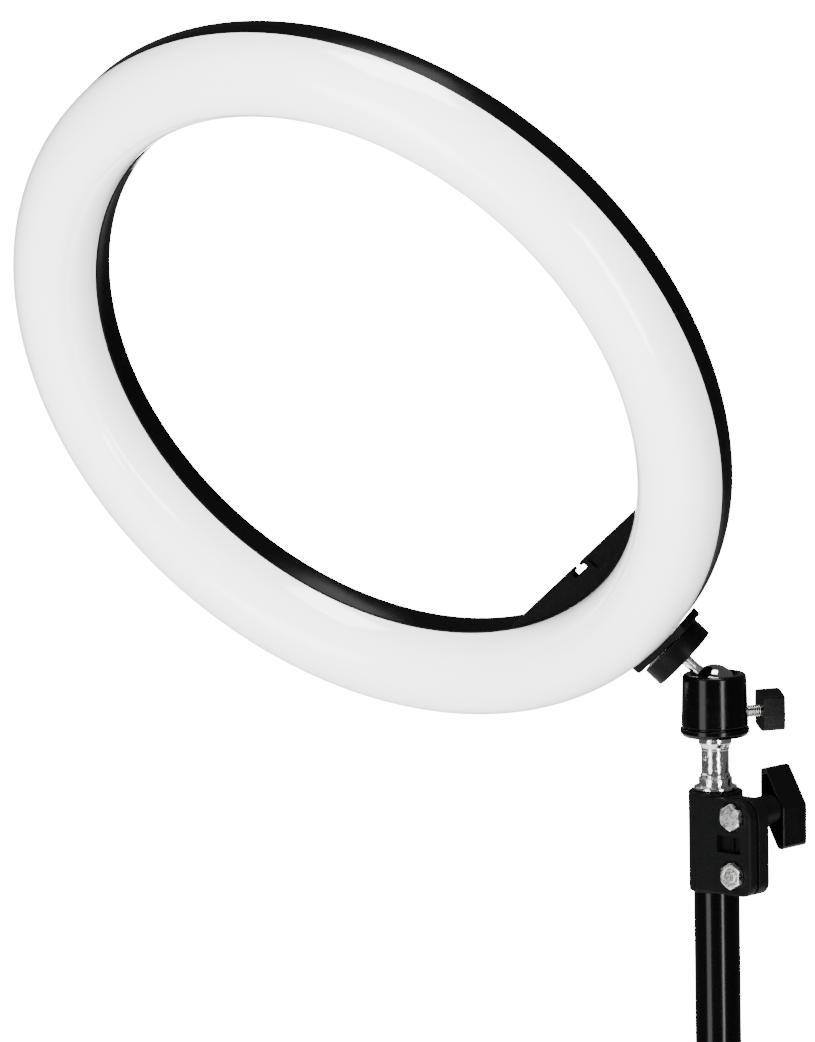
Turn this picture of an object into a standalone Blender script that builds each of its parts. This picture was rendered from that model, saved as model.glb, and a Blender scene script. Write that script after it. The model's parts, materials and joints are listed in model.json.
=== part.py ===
"""A ring light on a ball head and a telescopic tripod stand.

Units are metres and +Z is up. The origin is on the floor, at the middle of the column's foot.
The stand is open, its middle tube is partly drawn out, its top tube is fully in, and the head leans
nearly as far as the rim of its housing lets the stem go.
"""

import math

import bmesh
import bpy
from mathutils import Matrix, Vector

MM = 0.001
GAP = 0.3 * MM
MERGE = 0.00001
ROUND_STEPS = 24
RING_STEPS = 48

# Light ring
RING_RADIUS = 165.0 * MM
RING_INNER_RADIUS = 129.5 * MM
RING_MIDDLE_RADIUS = 147.5 * MM
CASING_DEPTH = 10.4 * MM
CASING_WALL = 1.8 * MM
DIFFUSER_HEIGHT = 21.7 * MM
DIFFUSER_OUTER_HALF = 17.7 * MM
DIFFUSER_INNER_HALF = 17.3 * MM
DIFFUSER_POWER = 2.25
DIFFUSER_WALL = 1.8 * MM
DIFFUSER_ARC_POINTS = 8
LED_COUNT = 24
CHORD_DISTANCE = 117.4 * MM
PLATE_THICKNESS = 3.5 * MM
SCREW_ANGLES = (45, 135, 225, 315)
SCREW_CIRCLE = 135.5 * MM
GLAND_ANGLE = 25
FOOT_HOLE_RADIUS = 3.5 * MM

# Ball head and its attitude
BALL_TO_RING = 193.7 * MM
BALL_RADIUS = 9.3 * MM
STEM_RADIUS = 2.35 * MM
DISC_LOW = 16.8 * MM
DISC_HIGH = 25.3 * MM
DISC_RADIUS = 14.8 * MM
HEAD_PAN = math.radians(174.7)
HEAD_LEAN = math.radians(45.95)
HEAD_SWIVEL = math.radians(-37.3)
LOCK_KNOB_AZIMUTH = math.radians(20)
LOCK_KNOB_HEIGHT = 31.8 * MM
BALL_HEIGHT = 43.3 * MM
HOUSING_LOW = 27.2 * MM
HOUSING_HIGH = 48.8 * MM

# Telescopic column
COLLAR_1_TOP = 0.757
COLLAR_2_TOP = 0.575
COLLAR_AZIMUTH = math.radians(47)
COLLAR_HEIGHT = 42.0 * MM
COLLAR_STEP = 13.7 * MM
TUBE_WALL = 1.0 * MM
TOP_TUBE_RADIUS = 8.0 * MM
MID_TUBE_RADIUS = 9.5 * MM
BASE_TUBE_RADIUS = 11.0 * MM
MID_TUBE_BOTTOM = 0.235
TOP_TUBE_BOTTOM = 0.257
BOLT_RADIUS = 3.0 * MM
HEX_RADIUS = 5.77 * MM
UPPER_BOLT_DROP = 8.1 * MM
LOWER_BOLT_DROP = 32.7 * MM
BOLT_OFFSET = 7.6 * MM

# Tripod linkage
LEG_AZIMUTHS = [math.radians(angle) for angle in (30, 150, 270)]
LEG_ANGLE = math.radians(53.5)
PIVOT_RADIUS = 24.0 * MM
BRACE_LENGTH = 0.210
LEG_LENGTH = 0.455
HUB_PIVOT_HEIGHT = 0.0315
LEG_COLLAR_HEIGHT = HUB_PIVOT_HEIGHT + 2 * BRACE_LENGTH * math.cos(LEG_ANGLE)
LEG_WIDTH = 15.0 * MM
LEG_DEPTH = 12.0 * MM
LEG_WALL = 1.2 * MM
BRACE_WIDTH = 10.0 * MM
BRACE_DEPTH = 7.0 * MM
PIN_RADIUS = 2.2 * MM
PIN_HOLE_RADIUS = 2.5 * MM
LUG_RADIUS = 4.5 * MM
LUG_WIDTH = 11.0 * MM
LEG_KNOB_AZIMUTH = math.radians(330)

COLOURS = {
    "casing_black": ((0.012, 0.012, 0.013), 0.45, 0.0),
    "diffuser_white": ((0.86, 0.86, 0.86), 0.25, 0.0),
    "board_white": ((0.75, 0.75, 0.72), 0.5, 0.0),
    "anodised_black": ((0.015, 0.015, 0.016), 0.22, 0.6),
    "chrome": ((0.80, 0.80, 0.80), 0.12, 1.0),
    "zinc": ((0.60, 0.60, 0.58), 0.32, 1.0),
    "brass": ((0.72, 0.55, 0.26), 0.30, 1.0),
    "collar_plastic": ((0.018, 0.018, 0.019), 0.55, 0.0),
    "knob_plastic": ((0.010, 0.010, 0.011), 0.35, 0.0),
    "painted_tube": ((0.008, 0.008, 0.009), 0.18, 0.0),
    "glide_plastic": ((0.10, 0.10, 0.10), 0.5, 0.0),
    "rubber": ((0.020, 0.020, 0.020), 0.8, 0.0),
}


# ---------------------------------------------------------------- scene helpers


def clear_scene():
    """Removes every object of the scene."""
    for obj in list(bpy.data.objects):
        bpy.data.objects.remove(obj, do_unlink=True)


def new_collection(name):
    """A new collection under the scene's own."""
    group = bpy.data.collections.new(name)
    bpy.context.scene.collection.children.link(group)
    return group


def new_materials():
    """One Principled material for each finish."""
    finishes = {}
    for name, (colour, roughness, metallic) in COLOURS.items():
        finish = bpy.data.materials.new(name)
        finish.use_nodes = True
        shader = finish.node_tree.nodes["Principled BSDF"]
        shader.inputs["Base Color"].default_value = (*colour, 1.0)
        shader.inputs["Roughness"].default_value = roughness
        shader.inputs["Metallic"].default_value = metallic
        finish.diffuse_color = (*colour, 1.0)
        finishes[name] = finish
    return finishes


clear_scene()
PARTS = new_collection("ring_light")
CUTTERS = new_collection("cutters")
FINISHES = new_materials()


def add_empty(name, matrix):
    """An empty that carries the pieces of one moving or tilted frame."""
    empty = bpy.data.objects.new(name, None)
    empty.empty_display_size = 0.02
    empty.matrix_world = matrix
    PARTS.objects.link(empty)
    return empty


def placed(mesh, name, finish, parent, local):
    """Makes an object of a mesh: a part when it has a finish, and a cutter when it has none."""
    obj = bpy.data.objects.new(name, mesh)
    if finish:
        mesh.materials.append(FINISHES[finish])
        PARTS.objects.link(obj)
    else:
        CUTTERS.objects.link(obj)
        obj.hide_render = True
        obj.display_type = "WIRE"
    obj.parent = parent
    obj.matrix_local = local
    return obj


def boolean(target, tool, operation):
    """Adds an exact Boolean of the tool to the target."""
    modifier = target.modifiers.new(f"{operation.lower()}_{tool.name}"[:60], "BOOLEAN")
    modifier.operation = operation
    modifier.solver = "EXACT"
    modifier.object = tool


def shift(x=0.0, y=0.0, z=0.0):
    """A translation matrix."""
    return Matrix.Translation((x, y, z))


def turn(degrees, axis):
    """A rotation matrix about X, Y or Z."""
    return Matrix.Rotation(math.radians(degrees), 4, axis)


UPRIGHT = turn(90, "X")  # an outline's second coordinate becomes Z, and its thickness runs along -Y
ALONG_Y = turn(-90, "X")  # a rod's own Z becomes +Y
ALONG_X = turn(90, "Y")  # a rod's own Z becomes +X


# ---------------------------------------------------------------- shape helpers


def arc(centre, radius, start, end, count):
    """Points of an arc, from start to end in radians."""
    points = []
    for index in range(count + 1):
        angle = start + (end - start) * index / count
        points.append((centre[0] + radius * math.cos(angle), centre[1] + radius * math.sin(angle)))
    return points


def circle(centre, radius, count):
    """Points all the way round a circle."""
    return arc(centre, radius, 0, math.tau, count)[:-1]


def rounded(corners, count=4):
    """An outline whose corners (x, y, radius) are turned into arcs."""
    points = []
    for index, (x, y, radius) in enumerate(corners):
        corner = Vector((x, y))
        if radius == 0:
            points.append((x, y))
            continue
        before = (Vector(corners[index - 1][:2]) - corner).normalized()
        after = (Vector(corners[(index + 1) % len(corners)][:2]) - corner).normalized()
        half_angle = before.angle(after) / 2
        centre = corner + (before + after).normalized() * radius / math.sin(half_angle)
        first = corner + before * radius / math.tan(half_angle) - centre
        last = corner + after * radius / math.tan(half_angle) - centre
        sweep = first.angle_signed(last)
        start = math.atan2(first.y, first.x)
        points += arc(centre, radius, start, start - sweep, count)
    return points


def clockwise(profile):
    """The profile in the order that makes a turned shape face outwards."""
    area = 0.0
    for index, (x, y) in enumerate(profile):
        next_x, next_y = profile[(index + 1) % len(profile)]
        area += x * next_y - next_x * y
    return list(profile) if area < 0 else list(reversed(profile))


def turned(name, profile, finish, parent=None, local=Matrix(), steps=ROUND_STEPS):
    """Turns a closed profile (radius, height) about Z. Its edge on the axis, if any, is left out."""
    profile = clockwise(profile)
    edges = []
    for index, (radius, _) in enumerate(profile):
        following = (index + 1) % len(profile)
        if radius > 0 or profile[following][0] > 0:
            edges.append((index, following))
    mesh = bpy.data.meshes.new(name)
    mesh.from_pydata([(radius, 0, height) for radius, height in profile], edges, [])
    obj = placed(mesh, name, finish, parent, local)
    screw = obj.modifiers.new("turn", "SCREW")
    screw.axis = "Z"
    screw.angle = math.tau
    screw.steps = steps
    screw.render_steps = steps
    screw.use_merge_vertices = True
    screw.merge_threshold = MERGE
    screw.use_smooth_shade = True
    return obj


def rod(name, radius, low, high, finish, parent=None, local=Matrix(), sides=ROUND_STEPS):
    """A cylinder, or with few sides a prism, along Z from low to high."""
    body = bmesh.new()
    centre = Matrix.Translation((0, 0, (low + high) / 2))
    bmesh.ops.create_cone(
        body,
        cap_ends=True,
        segments=sides,
        radius1=radius,
        radius2=radius,
        depth=high - low,
        matrix=centre,
    )
    mesh = bpy.data.meshes.new(name)
    body.to_mesh(mesh)
    body.free()
    return placed(mesh, name, finish, parent, local)


def box(name, low, high, finish, parent=None, local=Matrix()):
    """A box between two corners."""
    low = Vector(low)
    high = Vector(high)
    body = bmesh.new()
    bmesh.ops.create_cube(body, size=1)
    bmesh.ops.scale(body, vec=high - low, verts=body.verts)
    bmesh.ops.translate(body, vec=(low + high) / 2, verts=body.verts)
    mesh = bpy.data.meshes.new(name)
    body.to_mesh(mesh)
    body.free()
    return placed(mesh, name, finish, parent, local)


def slab(name, outline, low, high, finish, parent=None, local=Matrix(), holes=()):
    """A flat outline filled and extruded along Z from low to high, as a welded mesh. Holes are outlines too."""
    curve = bpy.data.curves.new(f"{name}_outline", "CURVE")
    curve.dimensions = "2D"
    curve.fill_mode = "BOTH"
    curve.extrude = (high - low) / 2
    for loop in (outline, *holes):
        spline = curve.splines.new("POLY")
        spline.points.add(len(loop) - 1)
        for point, (x, y) in zip(spline.points, loop):
            point.co = (x, y, 0, 1)
        spline.use_cyclic_u = True
    source = bpy.data.objects.new(f"{name}_curve", curve)
    bpy.context.scene.collection.objects.link(source)
    graph = bpy.context.evaluated_depsgraph_get()
    mesh = bpy.data.meshes.new_from_object(source.evaluated_get(graph))
    bpy.data.objects.remove(source, do_unlink=True)
    body = bmesh.new()
    body.from_mesh(mesh)
    bmesh.ops.remove_doubles(body, verts=body.verts, dist=MERGE)
    bmesh.ops.translate(body, vec=(0, 0, (low + high) / 2), verts=body.verts)
    bmesh.ops.recalc_face_normals(body, faces=body.faces)
    body.to_mesh(mesh)
    body.free()
    mesh.name = name
    mesh.materials.clear()
    return placed(mesh, name, finish, parent, local)


def drill(target, radius, low, high, parent=None, local=Matrix(), sides=24):
    """Cuts a round hole along the local Z."""
    tool = rod(f"{target.name}_hole_{len(target.modifiers)}", radius, low, high, None, parent, local, sides)
    boolean(target, tool, "DIFFERENCE")


def cut_box(target, low, high, parent=None, local=Matrix()):
    """Cuts a box out of the target."""
    tool = box(f"{target.name}_cut_{len(target.modifiers)}", low, high, None, parent, local)
    boolean(target, tool, "DIFFERENCE")


def tube(name, radius, wall, low, high, finish, parent=None):
    """A straight tube along Z."""
    profile = [(radius, high), (radius, low), (radius - wall, low), (radius - wall, high)]
    return turned(name, profile, finish, parent)


def chamfered_cylinder(radius, low, high, chamfer):
    """The closed profile of a solid cylinder with both rims bevelled."""
    return [
        (0, high),
        (radius - chamfer, high),
        (radius, high - chamfer),
        (radius, low + chamfer),
        (radius - chamfer, low),
        (0, low),
    ]


# ---------------------------------------------------------------- light head


def ring_matrix():
    """The frame of the light ring: its centre in the plane where casing and diffuser meet, Z to the front
    and Y towards the foot."""
    return shift(y=CASING_DEPTH / 2, z=BALL_TO_RING) @ turn(-90, "X")


def at_ring_angle(degrees, radius):
    """The place on the ring at an angle from the foot, with X pointing outwards."""
    return turn(90 + degrees, "Z") @ shift(x=radius)


def foot_axis():
    """The axis of the stem, seen from the ring's frame: its Z points away from the ball."""
    return shift(z=-CASING_DEPTH / 2) @ turn(90, "X")


def make_rear_housing(ring):
    """The casing: back, outer wall and inner wall, open to the front."""
    inner = RING_INNER_RADIUS
    back = -CASING_DEPTH
    floor = back + CASING_WALL
    edge = 0.8 * MM
    profile = [
        (RING_RADIUS, 0),
        (RING_RADIUS, back + edge),
        (RING_RADIUS - edge, back),
        (inner + edge, back),
        (inner, back + edge),
        (inner, 0),
        (inner + CASING_WALL, 0),
        (inner + CASING_WALL, floor),
        (RING_RADIUS - CASING_WALL, floor),
        (RING_RADIUS - CASING_WALL, 0),
    ]
    housing = turned("rear_housing", profile, "casing_black", ring, steps=RING_STEPS)
    foot_hole_low = -(RING_RADIUS + 2 * MM)
    foot_hole_high = -(RING_RADIUS - 4 * MM)
    drill(housing, FOOT_HOLE_RADIUS, foot_hole_low, foot_hole_high, ring, foot_axis())
    for angle in SCREW_ANGLES:
        place = at_ring_angle(angle, SCREW_CIRCLE)
        drill(housing, 1.6 * MM, back - 1 * MM, floor + 1 * MM, ring, place, 12)
        drill(housing, 3.6 * MM, back - 1 * MM, back + 1 * MM, ring, place, 16)
    gland_place = at_ring_angle(GLAND_ANGLE, RING_MIDDLE_RADIUS)
    drill(housing, 3.9 * MM, back - 1 * MM, floor + 1 * MM, ring, gland_place)


def diffuser_arch(shrink, count):
    """The arch of the diffuser's section, from its inner edge to its outer edge."""
    points = []
    base = GAP
    for index in range(count + 1):
        angle = math.pi * (1 - index / count)
        side = math.cos(angle)
        half = DIFFUSER_OUTER_HALF if side > 0 else DIFFUSER_INNER_HALF
        across = math.copysign(abs(side) ** (2 / DIFFUSER_POWER), side) * (half - shrink)
        rise = abs(math.sin(angle)) ** (2 / DIFFUSER_POWER) * (DIFFUSER_HEIGHT - shrink - base)
        points.append((RING_MIDDLE_RADIUS + across, base + rise))
    return points


def make_diffuser(ring):
    """The white cover: an arched shell with four posts for the housing screws."""
    outer = diffuser_arch(0, DIFFUSER_ARC_POINTS)
    inner = diffuser_arch(DIFFUSER_WALL, DIFFUSER_ARC_POINTS)
    diffuser = turned("diffuser", outer + inner[::-1], "diffuser_white", ring, steps=RING_STEPS)
    post_low = -CASING_DEPTH + CASING_WALL + GAP
    for number, angle in enumerate(SCREW_ANGLES, 1):
        place = at_ring_angle(angle, SCREW_CIRCLE)
        post = rod(f"screw_post_{number}", 3.2 * MM, post_low, 11.3 * MM, None, ring, place, 16)
        boolean(diffuser, post, "UNION")
        drill(diffuser, 1.5 * MM, post_low - 1 * MM, 9.0 * MM, ring, place, 12)


def make_housing_screws(ring):
    """Four pan-head screws from the back into the diffuser's posts."""
    head_low = -CASING_DEPTH - GAP
    head_high = -CASING_DEPTH + 0.7 * MM
    for number, angle in enumerate(SCREW_ANGLES, 1):
        profile = [
            (0, 8.4 * MM),
            (0.6 * MM, 8.4 * MM),
            (1.2 * MM, 7.2 * MM),
            (1.2 * MM, head_high),
            (3.2 * MM, head_high),
            (3.2 * MM, head_low + 0.4 * MM),
            (2.6 * MM, head_low),
            (0, head_low),
        ]
        place = at_ring_angle(angle, SCREW_CIRCLE)
        turned(f"housing_screw_{number}", profile, "zinc", ring, place, 12)


def make_led_board(ring):
    """A flat ring of circuit board with one row of light-emitting blocks."""
    low = -CASING_DEPTH + CASING_WALL + GAP
    high = low + 1.2 * MM
    profile = [(160 * MM, high), (160 * MM, low), (139.2 * MM, low), (139.2 * MM, high)]
    board = turned("led_board", profile, "board_white", ring, steps=RING_STEPS)
    blocks = bmesh.new()
    for index in range(LED_COUNT):
        place = turn(index * 360 / LED_COUNT, "Z") @ shift(x=150.5 * MM, z=high + 0.4 * MM)
        size = Matrix.Diagonal((5 * MM, 5 * MM, 1.2 * MM, 1))
        bmesh.ops.create_cube(blocks, size=1, matrix=place @ size)
    mesh = bpy.data.meshes.new("led_blocks")
    blocks.to_mesh(mesh)
    blocks.free()
    boolean(board, placed(mesh, "led_blocks", None, ring, Matrix()), "UNION")
    gland_place = at_ring_angle(GLAND_ANGLE, RING_MIDDLE_RADIUS)
    drill(board, 4.5 * MM, low - 1 * MM, high + 2 * MM, ring, gland_place)


def make_accessory_plate(ring):
    """The crescent inside the ring above the foot, with a T-shaped notch for an accessory."""
    radius = RING_INNER_RADIUS - 0.4 * MM
    half_angle = math.acos(CHORD_DISTANCE / radius)
    start = math.pi / 2 - half_angle
    crescent = arc((0, 0), radius, start, math.pi - start, 24)
    notch = [
        (-3.0 * MM, 0.0),
        (-3.0 * MM, 1.5 * MM),
        (-5.0 * MM, 1.5 * MM),
        (-5.0 * MM, 3.7 * MM),
        (5.0 * MM, 3.7 * MM),
        (5.0 * MM, 1.5 * MM),
        (3.0 * MM, 1.5 * MM),
        (3.0 * MM, 0.0),
    ]
    outline = crescent + [(x, CHORD_DISTANCE + depth) for x, depth in notch]
    slab("accessory_plate", outline, -PLATE_THICKNESS, 0, "casing_black", ring)


def make_foot(head):
    """The block on the ring's outer wall and the threaded insert that it holds."""
    low = DISC_HIGH + GAP
    half_length = 19.5 * MM
    radius = RING_RADIUS + 0.5 * MM
    half_angle = math.asin(half_length / radius)
    start = -math.pi / 2 - half_angle
    saddle = arc((0, BALL_TO_RING), radius, start, start + 2 * half_angle, 16)
    bottom = [(half_length, low + 1.6 * MM), (half_length - 1.6 * MM, low)]
    outline = saddle + bottom + [(-x, z) for x, z in reversed(bottom)]
    half_width = 6.5 * MM
    block = slab("foot_block", outline, -half_width, half_width, "casing_black", head, UPRIGHT)
    drill(block, FOOT_HOLE_RADIUS, low - 1 * MM, low + 6 * MM, head)
    flange_low = 31.2 * MM
    barrel = rod("foot_insert", 3.2 * MM, low + 0.4 * MM, flange_low + 1 * MM, "brass", head)
    flange = box(
        "foot_insert_flange",
        (-6.0 * MM, -3.2 * MM, flange_low),
        (6.0 * MM, 3.2 * MM, 33.2 * MM),
        None,
        head,
    )
    boolean(barrel, flange, "UNION")
    drill(barrel, 2.5 * MM, low - 1 * MM, 35 * MM, head)


def make_cable_gland(ring):
    """The short flanged gland in the back through which a lead would leave."""
    back = -CASING_DEPTH
    profile = [
        (3.6 * MM, -6.0 * MM),
        (3.6 * MM, back - GAP),
        (5.2 * MM, back - GAP),
        (5.2 * MM, back - 1.6 * MM),
        (4.4 * MM, back - 2.4 * MM),
        (1.9 * MM, back - 2.4 * MM),
        (1.9 * MM, -6.0 * MM),
    ]
    place = at_ring_angle(GLAND_ANGLE, RING_MIDDLE_RADIUS)
    turned("cable_gland", profile, "glide_plastic", ring, place, 24)


def make_light(head):
    """Everything that swivels with the ring."""
    ring = add_empty("ring_frame", Matrix())
    ring.parent = head
    ring.matrix_local = ring_matrix()
    make_rear_housing(ring)
    make_diffuser(ring)
    make_housing_screws(ring)
    make_led_board(ring)
    make_accessory_plate(ring)
    make_cable_gland(ring)
    make_foot(head)


# ---------------------------------------------------------------- ball head


def make_stem_and_disc(head):
    """The stem that leans on the ball, and the disc that locks the light on it."""
    stem = [
        (0, 32.5 * MM),
        (1.7 * MM, 32.5 * MM),
        (2.2 * MM, 32.0 * MM),
        (2.2 * MM, DISC_HIGH),
        (STEM_RADIUS, DISC_HIGH - 0.3 * MM),
        (STEM_RADIUS, BALL_RADIUS + GAP),
        (0, BALL_RADIUS + GAP),
    ]
    turned("stem", stem, "chrome", head, steps=24)
    edge = 0.4 * MM
    bore = STEM_RADIUS + GAP
    disc = [
        (bore, DISC_HIGH),
        (DISC_RADIUS - edge, DISC_HIGH),
        (DISC_RADIUS, DISC_HIGH - edge),
        (DISC_RADIUS, DISC_LOW + edge),
        (DISC_RADIUS - edge, DISC_LOW),
        (bore, DISC_LOW),
    ]
    turned("lock_disc", disc, "casing_black", head)


def make_ball(head):
    """The ball at the middle of the head."""
    body = bmesh.new()
    bmesh.ops.create_uvsphere(body, u_segments=28, v_segments=16, radius=BALL_RADIUS)
    mesh = bpy.data.meshes.new("ball")
    body.to_mesh(mesh)
    body.free()
    mesh.shade_smooth()
    placed(mesh, "ball", "chrome", head, Matrix())


def socket_arc(radius, start_degrees, end_degrees, count):
    """Points around the ball at a given radius; degrees are measured up from the horizontal."""
    start = math.radians(start_degrees)
    return arc((0, BALL_HEIGHT), radius, start, math.radians(end_degrees), count)


def make_ball_housing(column_top):
    """The cup around the ball, with a funnel at the top that the stem can lean against."""
    cavity_radius = BALL_RADIUS + 0.35 * MM
    cavity_floor = 29.0 * MM
    lip_angle = 22
    outer = [
        (10.2 * MM, HOUSING_HIGH),
        (12.4 * MM, HOUSING_HIGH),
        (13.0 * MM, HOUSING_HIGH - 0.3 * MM),
        (13.3 * MM, HOUSING_HIGH - 1.0 * MM),
        (13.9 * MM, HOUSING_LOW),
        (3.3 * MM, HOUSING_LOW),
        (3.3 * MM, cavity_floor),
        (cavity_radius, cavity_floor),
    ]
    socket = socket_arc(cavity_radius, 0, lip_angle, 4)
    housing = turned("ball_housing", outer + socket, "anodised_black", None, column_top)
    side = column_top @ turn(math.degrees(LOCK_KNOB_AZIMUTH), "Z") @ shift(z=LOCK_KNOB_HEIGHT) @ ALONG_X
    drill(housing, 2.75 * MM, 6 * MM, 16 * MM, None, side)


def make_ball_seat(column_top):
    """The ring-shaped seat that the lock screw presses against the ball from below."""
    top = socket_arc(BALL_RADIUS + 0.35 * MM, -38, -59, 5)
    seat_low = 34.6 * MM
    seat_radius = 9.2 * MM
    profile = [(top[-1][0], seat_low), (7.4 * MM, seat_low), (seat_radius, seat_low + 1 * MM)]
    profile += [(seat_radius, top[0][1] - 0.2 * MM)] + top
    turned("ball_seat", profile, "brass", None, column_top)


def make_base_ring(column_top):
    """The ring that screws the head onto the spigot."""
    low = 22.9 * MM
    high = 26.9 * MM
    profile = [
        (3.3 * MM, high),
        (14.35 * MM, high),
        (14.35 * MM, low + 1.2 * MM),
        (13.2 * MM, low),
        (3.3 * MM, low),
    ]
    turned("base_ring", profile, "anodised_black", None, column_top)


def make_lock_screw(column_top):
    """The screw in the housing's side and its wing knob."""
    side = column_top @ turn(math.degrees(LOCK_KNOB_AZIMUTH), "Z") @ shift(z=LOCK_KNOB_HEIGHT)
    screw = [
        (0, 27.5 * MM),
        (2.45 * MM, 27.5 * MM),
        (2.45 * MM, 6.2 * MM),
        (1.0 * MM, 4.2 * MM),
        (0, 4.2 * MM),
    ]
    turned("lock_screw", screw, "zinc", None, side @ ALONG_X, 20)
    half = [(1.0, 8.3), (-5.0, 6.0), (-5.2, -2.3), (-4.8, -8.3)]
    corners = [(x * MM, z * MM, 1.0 * MM) for x, z in half]
    corners += [(-x, -z, radius) for x, z, radius in corners]
    outline = rounded(corners, 3)
    # The outline lies across the screw: its first coordinate runs sideways, its second upwards.
    across = side @ turn(90, "Z") @ UPRIGHT
    knob = slab("lock_knob", outline, 20.0 * MM, 29.5 * MM, "knob_plastic", None, across)
    drill(knob, 2.75 * MM, 18.5 * MM, 27.9 * MM, None, side @ ALONG_X, 20)


def make_ball_head(head, column_top):
    """Ball, stem, disc, housing, seat, ring and lock screw."""
    make_stem_and_disc(head)
    make_ball(head)
    make_ball_housing(column_top)
    make_ball_seat(column_top)
    make_base_ring(column_top)
    make_lock_screw(column_top)


# ---------------------------------------------------------------- clamps and knobs


def make_t_knob(name, across, along, low):
    """A T-shaped knob with a recess around its hub; its axis is the rod axis of the matrix along."""
    half = [(6.3, 16.4, 1.6), (6.5, -0.7, 1.6), (-3.0, -17.0, 1.6)]
    corners = [(x * MM, z * MM, radius * MM) for x, z, radius in half]
    corners += [(-x, -z, radius) for x, z, radius in corners]
    high = low + 15.0 * MM
    knob = slab(name, rounded(corners, 4), low, high, "knob_plastic", None, across)
    pocket = [(x * 0.72, z * 0.84, radius * 0.6) for x, z, radius in corners]
    recess = slab(f"{name}_recess", rounded(pocket, 3), low - 1 * MM, low + 5 * MM, None, None, across)
    hub = rod(f"{name}_hub", 4.6 * MM, low - 0.5 * MM, low + 6 * MM, None, None, along, 24)
    boolean(knob, recess, "DIFFERENCE")
    boolean(knob, hub, "UNION")
    drill(knob, BOLT_RADIUS + GAP, low - 2 * MM, low + 11.1 * MM, None, along, 20)
    return knob


def hex_bolt(name, head_low, head_high, shank_end, along):
    """A bolt whose shank runs from its hexagonal head to shank_end."""
    bolt = rod(name, HEX_RADIUS, head_low, head_high, "zinc", None, along @ turn(30, "Z"), 6)
    middle = (head_low + head_high) / 2
    ends = sorted((middle, shank_end))
    shank = rod(f"{name}_shank", BOLT_RADIUS, ends[0], ends[1], None, None, along, 20)
    boolean(bolt, shank, "UNION")


def make_clamp(name, top, lower_radius, upper_radius, sleeve_radius):
    """A split clamp that holds a tube below and grips the thinner tube that slides in it.

    Its own X points along the ears and its own Y along the bolts, away from the front face.
    """
    origin = shift(z=top) @ turn(math.degrees(COLLAR_AZIMUTH) - 90, "Z")
    front = -sleeve_radius - 0.1 * MM
    slit_low = front + 4.8 * MM
    slit_high = slit_low + 0.8 * MM
    rear = slit_high + 6.5 * MM
    ear_end = sleeve_radius + 17.4 * MM
    bolt_x = sleeve_radius + BOLT_OFFSET
    height = COLLAR_HEIGHT
    clamp = turned(
        f"{name}_clamp",
        chamfered_cylinder(sleeve_radius, -height, 0, 0.6 * MM),
        "collar_plastic",
        None,
        origin,
    )
    elevation = [
        (0, -1.0 * MM, 0),
        (0, -height + 0.8 * MM, 0),
        (ear_end, -height + 0.8 * MM, 5.4 * MM),
        (ear_end, -1.0 * MM, 8.0 * MM),
    ]
    ears = slab(f"{name}_ears", rounded(elevation), -rear, -front, None, None, origin @ UPRIGHT)
    boolean(clamp, ears, "UNION")
    upper_along = origin @ shift(x=bolt_x, z=-UPPER_BOLT_DROP) @ ALONG_Y
    lower_along = origin @ shift(x=bolt_x, z=-LOWER_BOLT_DROP) @ ALONG_Y
    boss_end = sleeve_radius + 1.4 * MM
    boss = rod(f"{name}_boss", 6.25 * MM, rear - 1 * MM, boss_end, None, None, upper_along, 24)
    boolean(clamp, boss, "UNION")
    drill(clamp, upper_radius + GAP, -COLLAR_STEP - 0.1 * MM, 2 * MM, None, origin, ROUND_STEPS)
    drill(clamp, lower_radius + GAP, -height - 2 * MM, -COLLAR_STEP, None, origin, ROUND_STEPS)
    slit_start = (3.0 * MM, slit_low, -height - 1 * MM)
    slit_end = (ear_end + 1 * MM, slit_high, 1 * MM)
    cut_box(clamp, slit_start, slit_end, None, origin)
    window_low = (sleeve_radius - 1.0 * MM, front - 1 * MM, -23.5 * MM)
    window_high = (sleeve_radius + 12.0 * MM, front + 3.6 * MM, -16.3 * MM)
    cut_box(clamp, window_low, window_high, None, origin)
    hole = BOLT_RADIUS + GAP
    recess_floor = front + 1.0 * MM
    drill(clamp, hole, front - 2 * MM, boss_end + 1 * MM, None, upper_along, 20)
    drill(clamp, hole, front - 2 * MM, rear + 1 * MM, None, lower_along, 20)
    drill(clamp, 6.3 * MM, front - 1 * MM, recess_floor, None, upper_along, 24)
    drill(clamp, 6.3 * MM, front - 1 * MM, recess_floor, None, lower_along, 24)
    head_low = front - 2.0 * MM
    head_high = recess_floor - GAP
    knob_low = boss_end + 0.9 * MM
    hex_bolt(f"{name}_bolt", head_low, head_high, knob_low + 10.7 * MM, upper_along)
    hex_bolt(f"{name}_lower_bolt", rear + GAP, rear + 4.3 * MM, front - 2.6 * MM, lower_along)
    nut = rod(f"{name}_nut", HEX_RADIUS, head_low, head_high, "zinc", None, lower_along @ turn(30, "Z"), 6)
    drill(nut, hole, head_low - 1 * MM, head_high + 1 * MM, None, lower_along, 20)
    across = origin @ shift(x=bolt_x, z=-UPPER_BOLT_DROP) @ turn(180, "Z") @ UPRIGHT
    make_t_knob(f"{name}_knob", across, upper_along, knob_low)


# ---------------------------------------------------------------- column


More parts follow.
